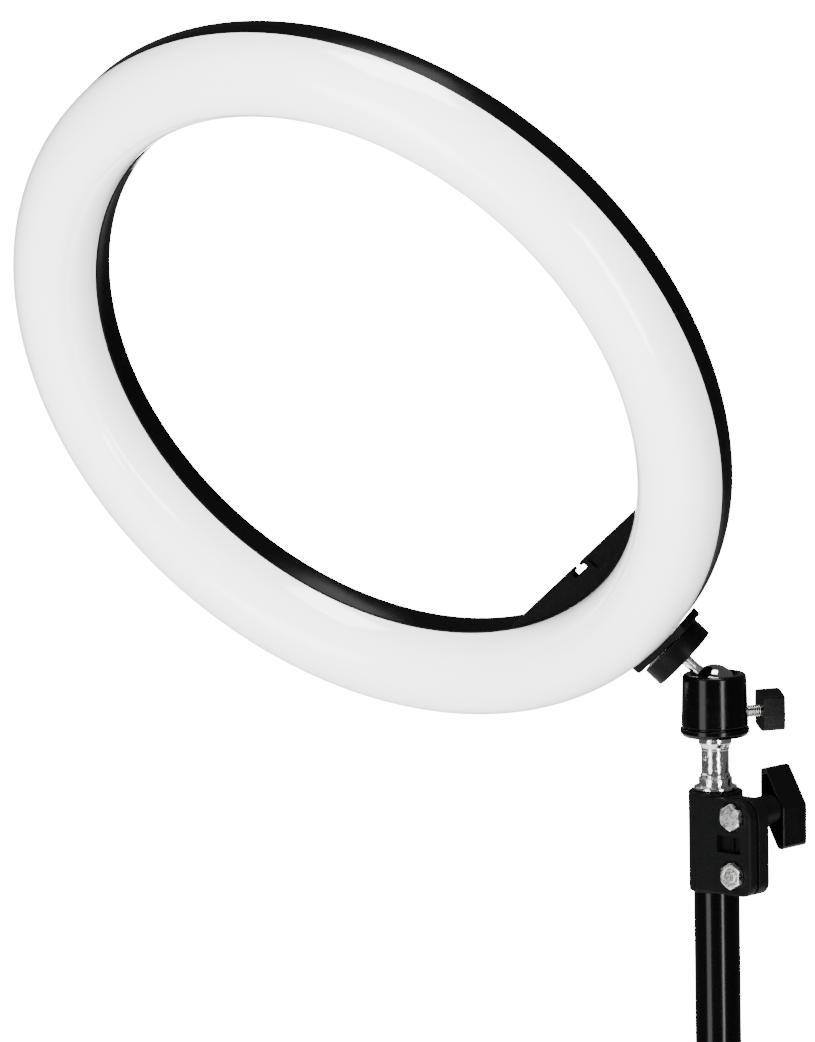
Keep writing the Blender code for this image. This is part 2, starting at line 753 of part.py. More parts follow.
def make_spigot(column_top):
    """The chrome spigot on the top tube: plug, flange, waist and stud."""
    profile = [
        (0, 28.7 * MM),
        (2.6 * MM, 28.7 * MM),
        (3.0 * MM, 28.3 * MM),
        (3.0 * MM, 22.6 * MM),
        (6.83 * MM, 22.6 * MM),
        (6.83 * MM, 19.6 * MM),
        (5.8 * MM, 17.5 * MM),
        (5.8 * MM, 7.0 * MM),
        (7.0 * MM, 5.4 * MM),
        (7.0 * MM, 1.9 * MM),
        (9.05 * MM, 1.7 * MM),
        (9.05 * MM, GAP),
        (6.7 * MM, GAP),
        (6.7 * MM, -29.0 * MM),
        (6.0 * MM, -30.0 * MM),
        (0, -30.0 * MM),
    ]
    turned("spigot", profile, "chrome", None, column_top)


def make_glide(name, bottom, bore_radius, flange_radius, plug_radius):
    """A plastic bush in the lower end of a sliding tube."""
    profile = [
        (plug_radius, bottom + 12 * MM),
        (plug_radius, bottom - GAP),
        (flange_radius, bottom - GAP),
        (flange_radius, bottom - 2.7 * MM),
        (bore_radius, bottom - 2.7 * MM),
        (bore_radius, bottom + 12 * MM),
    ]
    turned(name, profile, "glide_plastic")


def make_column():
    """The three telescopic tubes, their glides and the plug in the foot."""
    collar_seat = COLLAR_STEP + GAP
    tube("top_tube", TOP_TUBE_RADIUS, TUBE_WALL, TOP_TUBE_BOTTOM, COLLAR_1_TOP, "painted_tube")
    mid_top = COLLAR_1_TOP - collar_seat
    tube("mid_tube", MID_TUBE_RADIUS, TUBE_WALL, MID_TUBE_BOTTOM, mid_top, "painted_tube")
    plug_flange = 8.0 * MM
    base_top = COLLAR_2_TOP - collar_seat
    tube("base_tube", BASE_TUBE_RADIUS, TUBE_WALL, plug_flange + GAP, base_top, "painted_tube")
    make_glide("top_glide", TOP_TUBE_BOTTOM, 5.0 * MM, 8.2 * MM, 6.7 * MM)
    make_glide("mid_glide", MID_TUBE_BOTTOM, 6.5 * MM, 9.65 * MM, 8.2 * MM)
    plug = [
        (0, 22.0 * MM),
        (9.0 * MM, 22.0 * MM),
        (9.7 * MM, 21.0 * MM),
        (9.7 * MM, plug_flange),
        (12.5 * MM, plug_flange),
        (12.5 * MM, 1.5 * MM),
        (11.0 * MM, 0),
        (0, 0),
    ]
    turned("base_plug", plug, "rubber")


# ---------------------------------------------------------------- tripod


def around(azimuth):
    """A frame whose X points outwards at an azimuth."""
    return Matrix.Rotation(azimuth, 4, "Z")


def make_lower_hub():
    """The hub on the foot of the column, with a slot for each brace."""
    low = HUB_PIVOT_HEIGHT - 8 * MM
    high = HUB_PIVOT_HEIGHT + 8 * MM
    bore = BASE_TUBE_RADIUS + GAP
    profile = [
        (bore, high + 10 * MM),
        (14.5 * MM, high + 10 * MM),
        (15.5 * MM, high + 9 * MM),
        (15.5 * MM, high),
        (28.0 * MM, high),
        (29.0 * MM, high - 1 * MM),
        (29.0 * MM, low + 1 * MM),
        (28.0 * MM, low),
        (bore, low),
    ]
    hub = turned("lower_hub", profile, "collar_plastic")
    half_slot = BRACE_WIDTH / 2 + 0.4 * MM
    for number, azimuth in enumerate(LEG_AZIMUTHS, 1):
        slot_low = (17.0 * MM, -half_slot, low - 1 * MM)
        slot_high = (31.0 * MM, half_slot, high + 1 * MM)
        cut_box(hub, slot_low, slot_high, None, around(azimuth))
        axle = around(azimuth) @ shift(x=PIVOT_RADIUS, z=HUB_PIVOT_HEIGHT) @ ALONG_Y
        drill(hub, PIN_HOLE_RADIUS, -20 * MM, 20 * MM, None, axle, 16)
        rod(f"hub_pin_{number}", PIN_RADIUS, -14 * MM, 14 * MM, "zinc", None, axle, 16)


def make_leg_collar():
    """The collar that slides on the column and carries the tops of the legs."""
    origin = shift(z=LEG_COLLAR_HEIGHT)
    bore = BASE_TUBE_RADIUS + GAP
    half_height = 18 * MM
    profile = [
        (bore, half_height),
        (14.2 * MM, half_height),
        (15.0 * MM, half_height - 0.8 * MM),
        (15.0 * MM, -half_height + 0.8 * MM),
        (14.2 * MM, -half_height),
        (bore, -half_height),
    ]
    collar = turned("leg_collar", profile, "collar_plastic", None, origin)
    lug = [(13.0 * MM, LUG_RADIUS), (13.0 * MM, -LUG_RADIUS)]
    lug += arc((PIVOT_RADIUS, 0), LUG_RADIUS, -math.pi / 2, math.pi / 2, 10)
    half_width = LUG_WIDTH / 2
    for number, azimuth in enumerate(LEG_AZIMUTHS, 1):
        facing = origin @ around(azimuth)
        arm = slab(f"leg_collar_lug_{number}", lug, -half_width, half_width, None, None, facing @ UPRIGHT)
        boolean(collar, arm, "UNION")
        axle = facing @ shift(x=PIVOT_RADIUS) @ ALONG_Y
        drill(collar, PIN_HOLE_RADIUS, -8 * MM, 8 * MM, None, axle, 16)
        rod(f"lug_pin_{number}", PIN_RADIUS, -6 * MM, 6 * MM, "zinc", None, axle, 16)
    side = origin @ around(LEG_KNOB_AZIMUTH)
    boss = rod("leg_collar_boss", 6.5 * MM, 13 * MM, 20 * MM, None, None, side @ ALONG_X, 24)
    boolean(collar, boss, "UNION")
    drill(collar, BOLT_RADIUS + GAP, 8 * MM, 22 * MM, None, side @ ALONG_X, 20)
    bolt_start = BASE_TUBE_RADIUS + 0.6 * MM
    rod("leg_collar_bolt", BOLT_RADIUS, bolt_start, 31.5 * MM, "zinc", None, side @ ALONG_X, 20)
    across = side @ turn(90, "Z") @ UPRIGHT
    make_t_knob("leg_collar_knob", across, side @ ALONG_X, 20.9 * MM)


def linkage_frame(azimuth, along, origin):
    """A frame at a pin: Z along the bar, X along the pin, both for the bar at one azimuth.

    along and origin are (outwards, up) pairs in the vertical plane of the leg.
    """
    outwards = Vector((math.cos(azimuth), math.sin(azimuth), 0))
    up = Vector((0, 0, 1))
    z_axis = outwards * along[0] + up * along[1]
    x_axis = Vector((-math.sin(azimuth), math.cos(azimuth), 0))
    y_axis = z_axis.cross(x_axis)
    place = outwards * origin[0] + up * origin[1]
    matrix = Matrix((x_axis, y_axis, z_axis)).transposed().to_4x4()
    matrix.translation = place
    return matrix


def leg_outline():
    """The channel section of a leg, open on its lower side."""
    half = LEG_WIDTH / 2
    depth = LEG_DEPTH / 2
    inner = half - LEG_WALL
    corners = [
        (-half, -depth, 0),
        (-inner, -depth, 0),
        (-inner, depth - LEG_WALL, 0),
        (inner, depth - LEG_WALL, 0),
        (inner, -depth, 0),
        (half, -depth, 0),
        (half, depth, 1.5 * MM),
        (-half, depth, 1.5 * MM),
    ]
    return rounded(corners, 3)


def make_leg(number, frame):
    """One leg, its middle pin and its rubber foot; the frame is at the middle pin."""
    top = -BRACE_LENGTH
    end = LEG_LENGTH - BRACE_LENGTH
    leg = slab(f"leg_{number}", leg_outline(), top - 7 * MM, end - 15 * MM, "painted_tube", frame)
    drill(leg, PIN_HOLE_RADIUS, -10 * MM, 10 * MM, frame, ALONG_X, 16)
    drill(leg, PIN_HOLE_RADIUS, -10 * MM, 10 * MM, frame, shift(z=top) @ ALONG_X, 16)
    rod(f"mid_pin_{number}", PIN_RADIUS, -8.6 * MM, 8.6 * MM, "zinc", frame, ALONG_X, 16)
    half_width = 9.5 * MM
    half_depth = 8.0 * MM
    corners = [
        (-half_depth, end - 34 * MM, 1.2 * MM),
        (half_depth, end - 34 * MM, 1.2 * MM),
        (half_depth, end + 15 * MM, 4.5 * MM),
        (-half_depth, end + 15 * MM, 0),
    ]
    sideways = turn(90, "Y") @ turn(90, "Z")
    foot = slab(f"foot_{number}", rounded(corners), -half_width, half_width, "rubber", frame, sideways)
    pocket_x = LEG_WIDTH / 2 + GAP
    pocket_y = LEG_DEPTH / 2 + GAP
    pocket_end = end - 15 * MM + GAP
    cut_box(foot, (-pocket_x, -pocket_y, end - 40 * MM), (pocket_x, pocket_y, pocket_end), frame)
    floor = box(f"floor_cut_{number}", (-0.6, -0.6, -0.05), (0.6, 0.6, 0), None)
    boolean(foot, floor, "DIFFERENCE")


def make_brace(number, frame):
    """One brace; the frame is at the hub pin."""
    radius = BRACE_DEPTH / 2
    outline = arc((0, 0), radius, math.pi, math.tau, 6)
    outline += arc((0, BRACE_LENGTH), radius, 0, math.pi, 6)
    half_width = BRACE_WIDTH / 2
    sideways = turn(90, "Y") @ turn(90, "Z")
    holes = [circle((0, pin), PIN_HOLE_RADIUS, 12) for pin in (0, BRACE_LENGTH)]
    name = f"brace_{number}"
    slab(name, outline, -half_width, half_width, "painted_tube", frame, sideways, holes)


def make_tripod():
    """Hub, sliding collar and three legs with their braces."""
    make_lower_hub()
    make_leg_collar()
    rise = (math.sin(LEG_ANGLE), math.cos(LEG_ANGLE))
    fall = (math.sin(LEG_ANGLE), -math.cos(LEG_ANGLE))
    hub_pin = (PIVOT_RADIUS, HUB_PIVOT_HEIGHT)
    middle_pin = (hub_pin[0] + BRACE_LENGTH * rise[0], hub_pin[1] + BRACE_LENGTH * rise[1])
    for number, azimuth in enumerate(LEG_AZIMUTHS, 1):
        brace_frame = add_empty(f"brace_frame_{number}", linkage_frame(azimuth, rise, hub_pin))
        leg_frame = add_empty(f"leg_frame_{number}", linkage_frame(azimuth, fall, middle_pin))
        make_brace(number, brace_frame)
        make_leg(number, leg_frame)


# ---------------------------------------------------------------- assembly


def head_matrix():
    """The leaning head's frame: origin at the ball's centre, Z along the stem, Y to the ring's front."""
    place = shift(z=COLLAR_1_TOP + BALL_HEIGHT)
    pan = Matrix.Rotation(HEAD_PAN, 4, "Z")
    lean = Matrix.Rotation(HEAD_LEAN, 4, "Y")
    swivel = Matrix.Rotation(HEAD_SWIVEL, 4, "Z")
    return place @ pan @ lean @ swivel


def main():
    """Builds the whole assembly."""
    column_top = shift(z=COLLAR_1_TOP)
    head = add_empty("head_frame", head_matrix())
    make_light(head)
    make_ball_head(head, column_top)
    make_clamp("collar_1", COLLAR_1_TOP, MID_TUBE_RADIUS, TOP_TUBE_RADIUS, 11.3 * MM)
    make_clamp("collar_2", COLLAR_2_TOP, BASE_TUBE_RADIUS, MID_TUBE_RADIUS, 12.8 * MM)
    make_spigot(column_top)
    make_column()
    make_tripod()


main()
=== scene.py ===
"""The looks of a ring light on a ball head and a telescopic tripod stand, built around its CAD frame."""

import json
import math

import bmesh
import bpy
from mathutils import Matrix, Vector


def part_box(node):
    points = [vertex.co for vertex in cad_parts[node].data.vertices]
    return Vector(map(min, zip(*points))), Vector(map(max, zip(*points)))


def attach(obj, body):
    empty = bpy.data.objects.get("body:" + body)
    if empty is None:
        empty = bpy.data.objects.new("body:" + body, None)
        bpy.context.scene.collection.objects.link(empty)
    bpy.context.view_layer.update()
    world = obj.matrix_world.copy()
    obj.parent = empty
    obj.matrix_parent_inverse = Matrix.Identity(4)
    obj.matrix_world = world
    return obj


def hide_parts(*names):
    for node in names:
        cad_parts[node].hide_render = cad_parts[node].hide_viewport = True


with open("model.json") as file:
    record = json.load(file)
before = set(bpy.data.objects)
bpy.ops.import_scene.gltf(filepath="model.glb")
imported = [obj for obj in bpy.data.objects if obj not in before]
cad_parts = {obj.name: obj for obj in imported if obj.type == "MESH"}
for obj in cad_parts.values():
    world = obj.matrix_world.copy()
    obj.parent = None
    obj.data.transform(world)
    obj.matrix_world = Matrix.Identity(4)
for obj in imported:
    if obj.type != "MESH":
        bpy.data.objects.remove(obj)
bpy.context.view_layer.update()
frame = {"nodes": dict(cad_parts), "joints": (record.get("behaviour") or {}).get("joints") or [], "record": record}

MM = 0.001
BODY_OF = {}
for body_name, members in frame["record"]["behaviour"]["bodies"].items():
    for member in members:
        BODY_OF[member] = body_name
JOINTS = {joint["name"]: joint for joint in frame["joints"]}
MOUNTS = {mount["name"]: mount for mount in frame["record"]["mounts"]}


# ---------------------------------------------------------------- frames taken from the CAD


def axes_frame(origin, z_axis, y_hint):
    """A frame at origin with Z along z_axis and Y as near y_hint as it can be."""
    z_axis = Vector(z_axis).normalized()
    x_axis = Vector(y_hint).cross(z_axis).normalized()
    y_axis = z_axis.cross(x_axis)
    matrix = Matrix((x_axis, y_axis, z_axis)).transposed().to_4x4()
    matrix.translation = Vector(origin)
    return matrix


def shift(x=0.0, y=0.0, z=0.0):
    """A translation."""
    return Matrix.Translation((x, y, z))


def turn(degrees, axis):
    """A rotation about X, Y or Z."""
    return Matrix.Rotation(math.radians(degrees), 4, axis)


ALONG_X = turn(90, "Y")  # Z of a turned piece becomes +X
ALONG_Y = turn(-90, "X")  # Z of a turned piece becomes +Y
UPRIGHT = turn(90, "X")  # an outline stands up, and its thickness runs along -Y

BALL = Vector(JOINTS["ball_pan"]["pos_m"])
STEM_AXIS = Vector(JOINTS["light_swivel"]["axis"]).normalized()
FRONT = Vector(MOUNTS["accessory_face"]["axis"]).normalized()
HEAD = axes_frame(BALL, STEM_AXIS, FRONT)
PLATE_REACH = 0.125  # from the ring's centre to the accessory face
RING_CENTRE = Vector(MOUNTS["accessory_face"]["pos_m"]) + STEM_AXIS * PLATE_REACH
RING = axes_frame(RING_CENTRE, FRONT, -STEM_AXIS)
BALL_TO_RING = (RING_CENTRE - BALL).dot(STEM_AXIS)
JUNCTION = (RING_CENTRE - BALL).dot(FRONT)
COLUMN_TOP = shift(z=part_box("collar_1_clamp")[1].z)

RING_RADIUS = 165.0 * MM
RING_INNER = 129.5 * MM
CASING_DEPTH = 2 * JUNCTION
DIFFUSER_MIDDLE = 147.5 * MM
BALL_RADIUS = 9.3 * MM
BALL_HEIGHT = BALL.z - COLUMN_TOP.translation.z
VIEW_ELEVATION = math.radians(9.0)
FINE_RING_STEPS = 256
FINE_STEPS = 96
HEX_RADIUS = 5.77 * MM

CAMERA_ROLL = math.radians(0.91)
CAMERA_LENS = 414.6  # millimetres, on a sensor 36 mm wide
CAMERA_LEFT = 0.1271  # metres from the ball, in the camera's own directions
CAMERA_UP = 0.0685
CAMERA_BACK = 4.970
BACKDROP_EDGE = math.radians(5.8)  # from the camera's axis to where the bright patch has faded
BACKDROP_CORE = math.radians(4.4)
BACKDROP_STRENGTH = 18.0
SURROUND_STRENGTH = 0.12
FLOOR_RADIUS = 2.0
FLOOR_DROP = 0.0006  # below the feet, so that the two don't flicker


# ---------------------------------------------------------------- materials


def fill(node, values):
    """Sets a node's inputs by name."""
    for name, value in values.items():
        node.inputs[name].default_value = value


def new_material(
    name,
    colour,
    roughness,
    metallic=0.0,
    specular=0.5,
    coat=0.0,
    coat_roughness=0.05,
    grain=0.0,
    grain_scale=2500.0,
    mottle=0.04,
    mottle_scale=60.0,
    tint=0.08,
    stretch=(1.0, 1.0, 1.0),
    wear=0.0,
    subsurface=0.0,
):
    """A Principled material with uneven roughness and colour, a fine grain and, where asked, worn edges."""
    material = bpy.data.materials.new(name)
    material.use_nodes = True
    nodes = material.node_tree.nodes
    link = material.node_tree.links.new
    shader = nodes["Principled BSDF"]
    fill(shader, {"Metallic": metallic, "Specular IOR Level": specular})
    fill(shader, {"Coat Weight": coat, "Coat Roughness": coat_roughness})
    if subsurface:
        fill(shader, {"Subsurface Weight": subsurface, "Subsurface Scale": 1.0})
        fill(shader, {"Subsurface Radius": (0.004, 0.004, 0.004)})
    place = nodes.new("ShaderNodeTexCoord")
    mapping = nodes.new("ShaderNodeMapping")
    fill(mapping, {"Scale": stretch})
    link(place.outputs["Object"], mapping.inputs["Vector"])

    clouds = nodes.new("ShaderNodeTexNoise")
    fill(clouds, {"Scale": mottle_scale, "Detail": 5.0})
    link(mapping.outputs["Vector"], clouds.inputs["Vector"])
    rough_range = nodes.new("ShaderNodeMapRange")
    fill(rough_range, {"From Min": 0.3, "From Max": 0.7})
    fill(rough_range, {"To Min": max(0.02, roughness - mottle), "To Max": min(1.0, roughness + mottle)})
    link(clouds.outputs["Fac"], rough_range.inputs["Value"])
    link(rough_range.outputs["Result"], shader.inputs["Roughness"])

    darker = [channel * (1 - tint) for channel in colour]
    lighter = [min(1.0, channel * (1 + tint)) for channel in colour]
    tone = nodes.new("ShaderNodeMix")
    tone.data_type = "RGBA"
    tone.inputs["A"].default_value = (*darker, 1)
    tone.inputs["B"].default_value = (*lighter, 1)
    link(clouds.outputs["Fac"], tone.inputs["Factor"])
    result = tone.outputs["Result"]
    if wear:
        geometry = nodes.new("ShaderNodeNewGeometry")
        edge = nodes.new("ShaderNodeMapRange")
        fill(edge, {"From Min": 0.52, "From Max": 0.62, "To Max": wear})
        link(geometry.outputs["Pointiness"], edge.inputs["Value"])
        worn = nodes.new("ShaderNodeMix")
        worn.data_type = "RGBA"
        worn.inputs["B"].default_value = (*[min(1.0, channel * 3 + 0.02) for channel in colour], 1)
        link(edge.outputs["Result"], worn.inputs["Factor"])
        link(result, worn.inputs["A"])
        result = worn.outputs["Result"]
    link(result, shader.inputs["Base Color"])

    if grain:
        speckle = nodes.new("ShaderNodeTexNoise")
        fill(speckle, {"Scale": grain_scale, "Detail": 3.0})
        link(mapping.outputs["Vector"], speckle.inputs["Vector"])
        bump = nodes.new("ShaderNodeBump")
        fill(bump, {"Strength": grain, "Distance": 0.0002})
        link(speckle.outputs["Fac"], bump.inputs["Height"])
        link(bump.outputs["Normal"], shader.inputs["Normal"])
    return material


# The blacks are set for these lights and this view transform, and are darker than real plastic and paint.
CASING = new_material("casing_black", (0.0012, 0.0012, 0.0013), 0.22, specular=0.05, grain=0.15, wear=0.2)
FITTING = new_material("fitting_black", (0.0014, 0.0014, 0.0015), 0.30, specular=0.05, grain=0.12)
DIFFUSER = new_material(
    "diffuser_white",
    (0.92, 0.92, 0.925),
    0.13,
    specular=1.0,
    coat=0.5,
    coat_roughness=0.10,
    mottle=0.03,
    mottle_scale=12.0,
    tint=0.01,
    subsurface=0.15,
)
# The plate is painted darker than the casing plastic it belongs to, as painted shade: it stands in for the shade
# of its recess inside the ring.
PLATE = new_material("plate_black", (0.0005, 0.0005, 0.0006), 0.42, specular=0.03, grain=0.4)
ANODISED = new_material(
    "anodised_black",
    (0.0004, 0.0004, 0.0005),
    0.15,
    specular=0.18,
    grain=0.10,
    grain_scale=900.0,
    stretch=(0.12, 0.12, 6.0),
    wear=0.2,
)
CHROME = new_material(
    "chrome", (0.83, 0.83, 0.82), 0.11, metallic=1.0,
    grain=0.9, grain_scale=700.0, mottle=0.07, mottle_scale=240.0,
)
# The ball's chrome is painted darker than the other chrome, as painted shade and reflection: it stands in for the
# dark parts around it that the ball reflects.
BALL_CHROME = new_material("ball_chrome", (0.50, 0.50, 0.50), 0.06, metallic=1.0, mottle=0.02, grain=0.04)
STEM = new_material(
    "stem_silver", (0.96, 0.96, 0.95), 0.24, metallic=1.0,
    grain=0.15, grain_scale=900.0, mottle=0.06, mottle_scale=300.0,
)
ZINC = new_material(
    "zinc", (0.80, 0.80, 0.78), 0.30, metallic=1.0,
    grain=1.0, grain_scale=1400.0, mottle=0.14, mottle_scale=400.0,
)
SCREW = new_material("screw_steel", (0.62, 0.62, 0.60), 0.12, metallic=1.0, grain=0.1)
BRASS = new_material("brass", (0.74, 0.56, 0.27), 0.28, metallic=1.0, grain=0.2, grain_scale=900.0)
COLLAR = new_material(
    "collar_black", (0.0017, 0.0017, 0.0018), 0.38, specular=0.06, grain=0.5, grain_scale=3200.0
)
KNOB = new_material("knob_black", (0.0009, 0.0009, 0.0010), 0.24, specular=0.20, grain=0.15)
TUBE = new_material(
    "painted_black",
    (0.0005, 0.0005, 0.0006),
    0.15,
    specular=0.18,
    mottle=0.03,
    mottle_scale=30.0,
    grain=0.05,
    grain_scale=500.0,
    stretch=(1.0, 1.0, 0.12),
)
LEG_PAINT = new_material(
    "leg_black", (0.006, 0.006, 0.0065), 0.24, specular=0.35, grain=0.12, grain_scale=900.0, wear=0.3
)
GREY_PLASTIC = new_material("grey_plastic", (0.06, 0.06, 0.06), 0.5, grain=0.3)
RUBBER = new_material(
    "rubber_black", (0.018, 0.018, 0.018), 0.78, specular=0.2, grain=0.7, grain_scale=1800.0, wear=0.2
)
BOARD = new_material("board_white", (0.75, 0.75, 0.72), 0.45, grain=0.1)


# ---------------------------------------------------------------- mesh helpers


def arc(centre, radius, start, end, count):
    """Points of an arc; start and end are in degrees."""
    points = []
    for index in range(count + 1):
        angle = math.radians(start + (end - start) * index / count)
        points.append((centre[0] + radius * math.cos(angle), centre[1] + radius * math.sin(angle)))
    return points


def soft(corners, count=5):
    """An outline or profile whose corners (x, y, radius) are rounded; without a radius one stays sharp."""
    points = []
    for index, corner in enumerate(corners):
        radius = corner[2] if len(corner) > 2 else 0
        here = Vector(corner[:2])
        if not radius:
            points.append((here.x, here.y))
            continue
        before = (Vector(corners[index - 1][:2]) - here).normalized()
        after = (Vector(corners[(index + 1) % len(corners)][:2]) - here).normalized()
        half = before.angle(after) / 2
        centre = here + (before + after).normalized() * radius / math.sin(half)
        first = here + before * radius / math.tan(half) - centre
        last = here + after * radius / math.tan(half) - centre
        sweep = first.angle_signed(last)
        for step in range(count + 1):
            spoke = first.copy()
            spoke.rotate(Matrix.Rotation(-sweep * step / count, 2))
            points.append((centre.x + spoke.x, centre.y + spoke.y))
    return points


def new_piece(name, body, place, material=None, sharp=35):
    """An object made of a bmesh, smooth except at its sharp edges."""
    bmesh.ops.recalc_face_normals(body, faces=body.faces)
    mesh = bpy.data.meshes.new(name)
    body.to_mesh(mesh)
    body.free()
    mesh.shade_smooth()
    mesh.set_sharp_from_angle(angle=math.radians(sharp))
    obj = bpy.data.objects.new(name, mesh)
    bpy.context.scene.collection.objects.link(obj)
    obj.matrix_world = place
    if material:
        mesh.materials.append(material)
    return obj


def turned(name, profile, place=Matrix(), material=None, steps=FINE_STEPS, sharp=35):
    """A closed profile (radius, height) turned about Z; where it meets the axis, its points are shared."""
    body = bmesh.new()
    rows = []
    for radius, height in profile:
        if radius < 1e-7:
            rows.append([body.verts.new((0, 0, height))])
            continue
        ring = []
        for step in range(steps):
            angle = math.tau * step / steps
            ring.append(body.verts.new((radius * math.cos(angle), radius * math.sin(angle), height)))
        rows.append(ring)
    for index, row in enumerate(rows):
        following = rows[(index + 1) % len(rows)]
        if len(row) == 1 and len(following) == 1:
            continue
        for step in range(steps):
            after = (step + 1) % steps
            corners = [row[step % len(row)], following[step % len(following)]]
            corners += [following[after % len(following)], row[after % len(row)]]
            unique = list(dict.fromkeys(corners))
            body.faces.new(unique)
    return new_piece(name, body, place, material, sharp)


def prism(name, outline, low, high, place=Matrix(), material=None):
    """A flat outline extruded along Z."""
    body = bmesh.new()
    lower = [body.verts.new((x, y, low)) for x, y in outline]
    upper = [body.verts.new((x, y, high)) for x, y in outline]
    body.faces.new(lower[::-1])
    body.faces.new(upper)
    count = len(outline)
    for index in range(count):
        after = (index + 1) % count
        body.faces.new((lower[index], lower[after], upper[after], upper[index]))
    return new_piece(name, body, place, material)


def block(name, low, high, place=Matrix(), material=None):
    """A box between two corners."""
    outline = [(low[0], low[1]), (high[0], low[1]), (high[0], high[1]), (low[0], high[1])]
    return prism(name, outline, low[2], high[2], place, material)


def rod(name, radius, low, high, place=Matrix(), steps=48, material=None):
    """A cylinder along Z, as a tool for a Boolean."""
    return turned(name, [(0, high), (radius, high), (radius, low), (0, low)], place, material, steps)


def apply_modifiers(obj, sharp=35):
    """Replaces the object's mesh by what its modifiers make of it; without an angle, its shading stays."""
    graph = bpy.context.evaluated_depsgraph_get()
    mesh = bpy.data.meshes.new_from_object(obj.evaluated_get(graph))
    obj.modifiers.clear()
    obj.data = mesh
    if sharp is not None:
        mesh.shade_smooth()
        mesh.set_sharp_from_angle(angle=math.radians(sharp))
    return obj


def combine(target, tools, operation="DIFFERENCE"):
    """Cuts the tools out of the target, or joins them to it, and removes them."""
    for tool in tools:
        modifier = target.modifiers.new("combine", "BOOLEAN")
        modifier.operation = operation
        modifier.solver = "EXACT"
        modifier.object = tool
    apply_modifiers(target)
    for tool in tools:
        bpy.data.objects.remove(tool, do_unlink=True)
    return target


def bevelled(obj, width, segments=3, angle=35):
    """Rounds the edges that are sharper than the angle."""
    weld = obj.modifiers.new("weld", "WELD")
    weld.merge_threshold = 0.000002
    modifier = obj.modifiers.new("bevel", "BEVEL")
    modifier.width = width
    modifier.segments = segments
    modifier.limit_method = "ANGLE"
    modifier.angle_limit = math.radians(angle)
    modifier.harden_normals = False
    modifier.miter_outer = "MITER_ARC"
    apply_modifiers(obj)
    even = obj.modifiers.new("even", "WEIGHTED_NORMAL")
    even.weight = 100
    even.keep_sharp = True
    return apply_modifiers(obj, None)


def threaded(name, radius, pitch, low, high, place=Matrix(), material=None, depth=None):
    """A screw thread: a cylinder whose radius follows a V groove that climbs one pitch a turn."""
    depth = 0.55 * pitch if depth is None else depth
    around = 40
    rows = max(4, int((high - low) / pitch * 8))
    body = bmesh.new()
    grid = []
    for row in range(rows + 1):
        z = low + (high - low) * row / rows
        ring = []
        taper = min(1.0, (high - z) / pitch, 1.0)
        for step in range(around):
            phase = (z / pitch - step / around) % 1.0
            groove = min(1.0, abs(2 * phase - 1) * 1.5)
            r = radius - depth * (1 - groove) - depth * 0.6 * (1 - max(0.0, taper))
            angle = math.tau * step / around
            ring.append(body.verts.new((r * math.cos(angle), r * math.sin(angle), z)))
        grid.append(ring)
    for row in range(rows):
        for step in range(around):
            after = (step + 1) % around
            body.faces.new((grid[row][step], grid[row][after], grid[row + 1][after], grid[row + 1][step]))
    body.faces.new(grid[0][::-1])
    body.faces.new(grid[-1])
    return new_piece(name, body, place, material, 60)


def settle(piece):
    """Moves the piece's place into its mesh, as the CAD nodes have it, so that its box lies square with the
    world's axes.
    """
    piece.data.transform(piece.matrix_world)
    piece.matrix_world = Matrix()


def spokes(radius, angles):
    """The points of a circle at the angles given, in degrees."""
    return [(radius * math.cos(math.radians(a)), radius * math.sin(math.radians(a))) for a in angles]


def stands_for(piece, node, material=None):
    """The piece is shown in place of the CAD node and rides on its body."""
    settle(piece)
    if material:
        piece.data.materials.clear()
        piece.data.materials.append(material)
    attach(piece, BODY_OF[node])
    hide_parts(node)
    return piece


def goes_with(piece, node):
    """A further piece on the body of a CAD node."""
    settle(piece)
    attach(piece, BODY_OF[node])
    return piece


# ---------------------------------------------------------------- light head

SCREW_ANGLES = (45, 135, 225, 315)
SCREW_CIRCLE = 135.5 * MM
GLAND_ANGLE = 25


def at_ring_angle(degrees, radius):
    """A place on the ring at an angle from the foot, with X pointing outwards."""
    return RING @ turn(90 + degrees, "Z") @ shift(x=radius)


def make_casing():
    """Rear housing: side walls with a fine lip, and a back with two shallow grooves."""
    back = -CASING_DEPTH
    floor = back + 1.8 * MM
    inner = RING_INNER
    profile = soft(
        [
            (RING_RADIUS, -0.15 * MM, 0.15 * MM),
            (RING_RADIUS, back, 1.1 * MM),
            (160.0 * MM, back, 0.1 * MM),
            (159.6 * MM, back + 0.35 * MM, 0.1 * MM),
            (158.4 * MM, back + 0.35 * MM, 0.1 * MM),
            (158.0 * MM, back, 0.1 * MM),
            (138.4 * MM, back, 0.1 * MM),
            (138.0 * MM, back + 0.35 * MM, 0.1 * MM),
            (136.8 * MM, back + 0.35 * MM, 0.1 * MM),
            (136.4 * MM, back, 0.1 * MM),
            (inner - 0.4 * MM, back, 0.9 * MM),
            (inner, -0.15 * MM, 0.15 * MM),
            (inner + 1.8 * MM, -0.15 * MM, 0.15 * MM),
            (inner + 1.8 * MM, floor, 0.4 * MM),
            (RING_RADIUS - 1.8 * MM, floor, 0.4 * MM),
            (RING_RADIUS - 1.8 * MM, -0.15 * MM, 0.15 * MM),
        ],
        3,
    )
    casing = turned("rear_housing_fine", profile, RING, CASING, FINE_RING_STEPS, 40)
    tools = []
    for angle in SCREW_ANGLES:
        place = at_ring_angle(angle, SCREW_CIRCLE)
        tools.append(rod("hole", 3.6 * MM, back - 1 * MM, back + 1 * MM, place))
        tools.append(rod("hole", 1.6 * MM, back, floor + 1 * MM, place, 24))
    gland_place = at_ring_angle(GLAND_ANGLE, DIFFUSER_MIDDLE)
    tools.append(rod("hole", 3.9 * MM, back - 1 * MM, floor + 1 * MM, gland_place))
    outer_wall = BALL_TO_RING - RING_RADIUS
    tools.append(rod("hole", 3.5 * MM, outer_wall - 2 * MM, outer_wall + 4 * MM, HEAD))
    combine(casing, tools)
    stands_for(casing, "rear_housing", CASING)


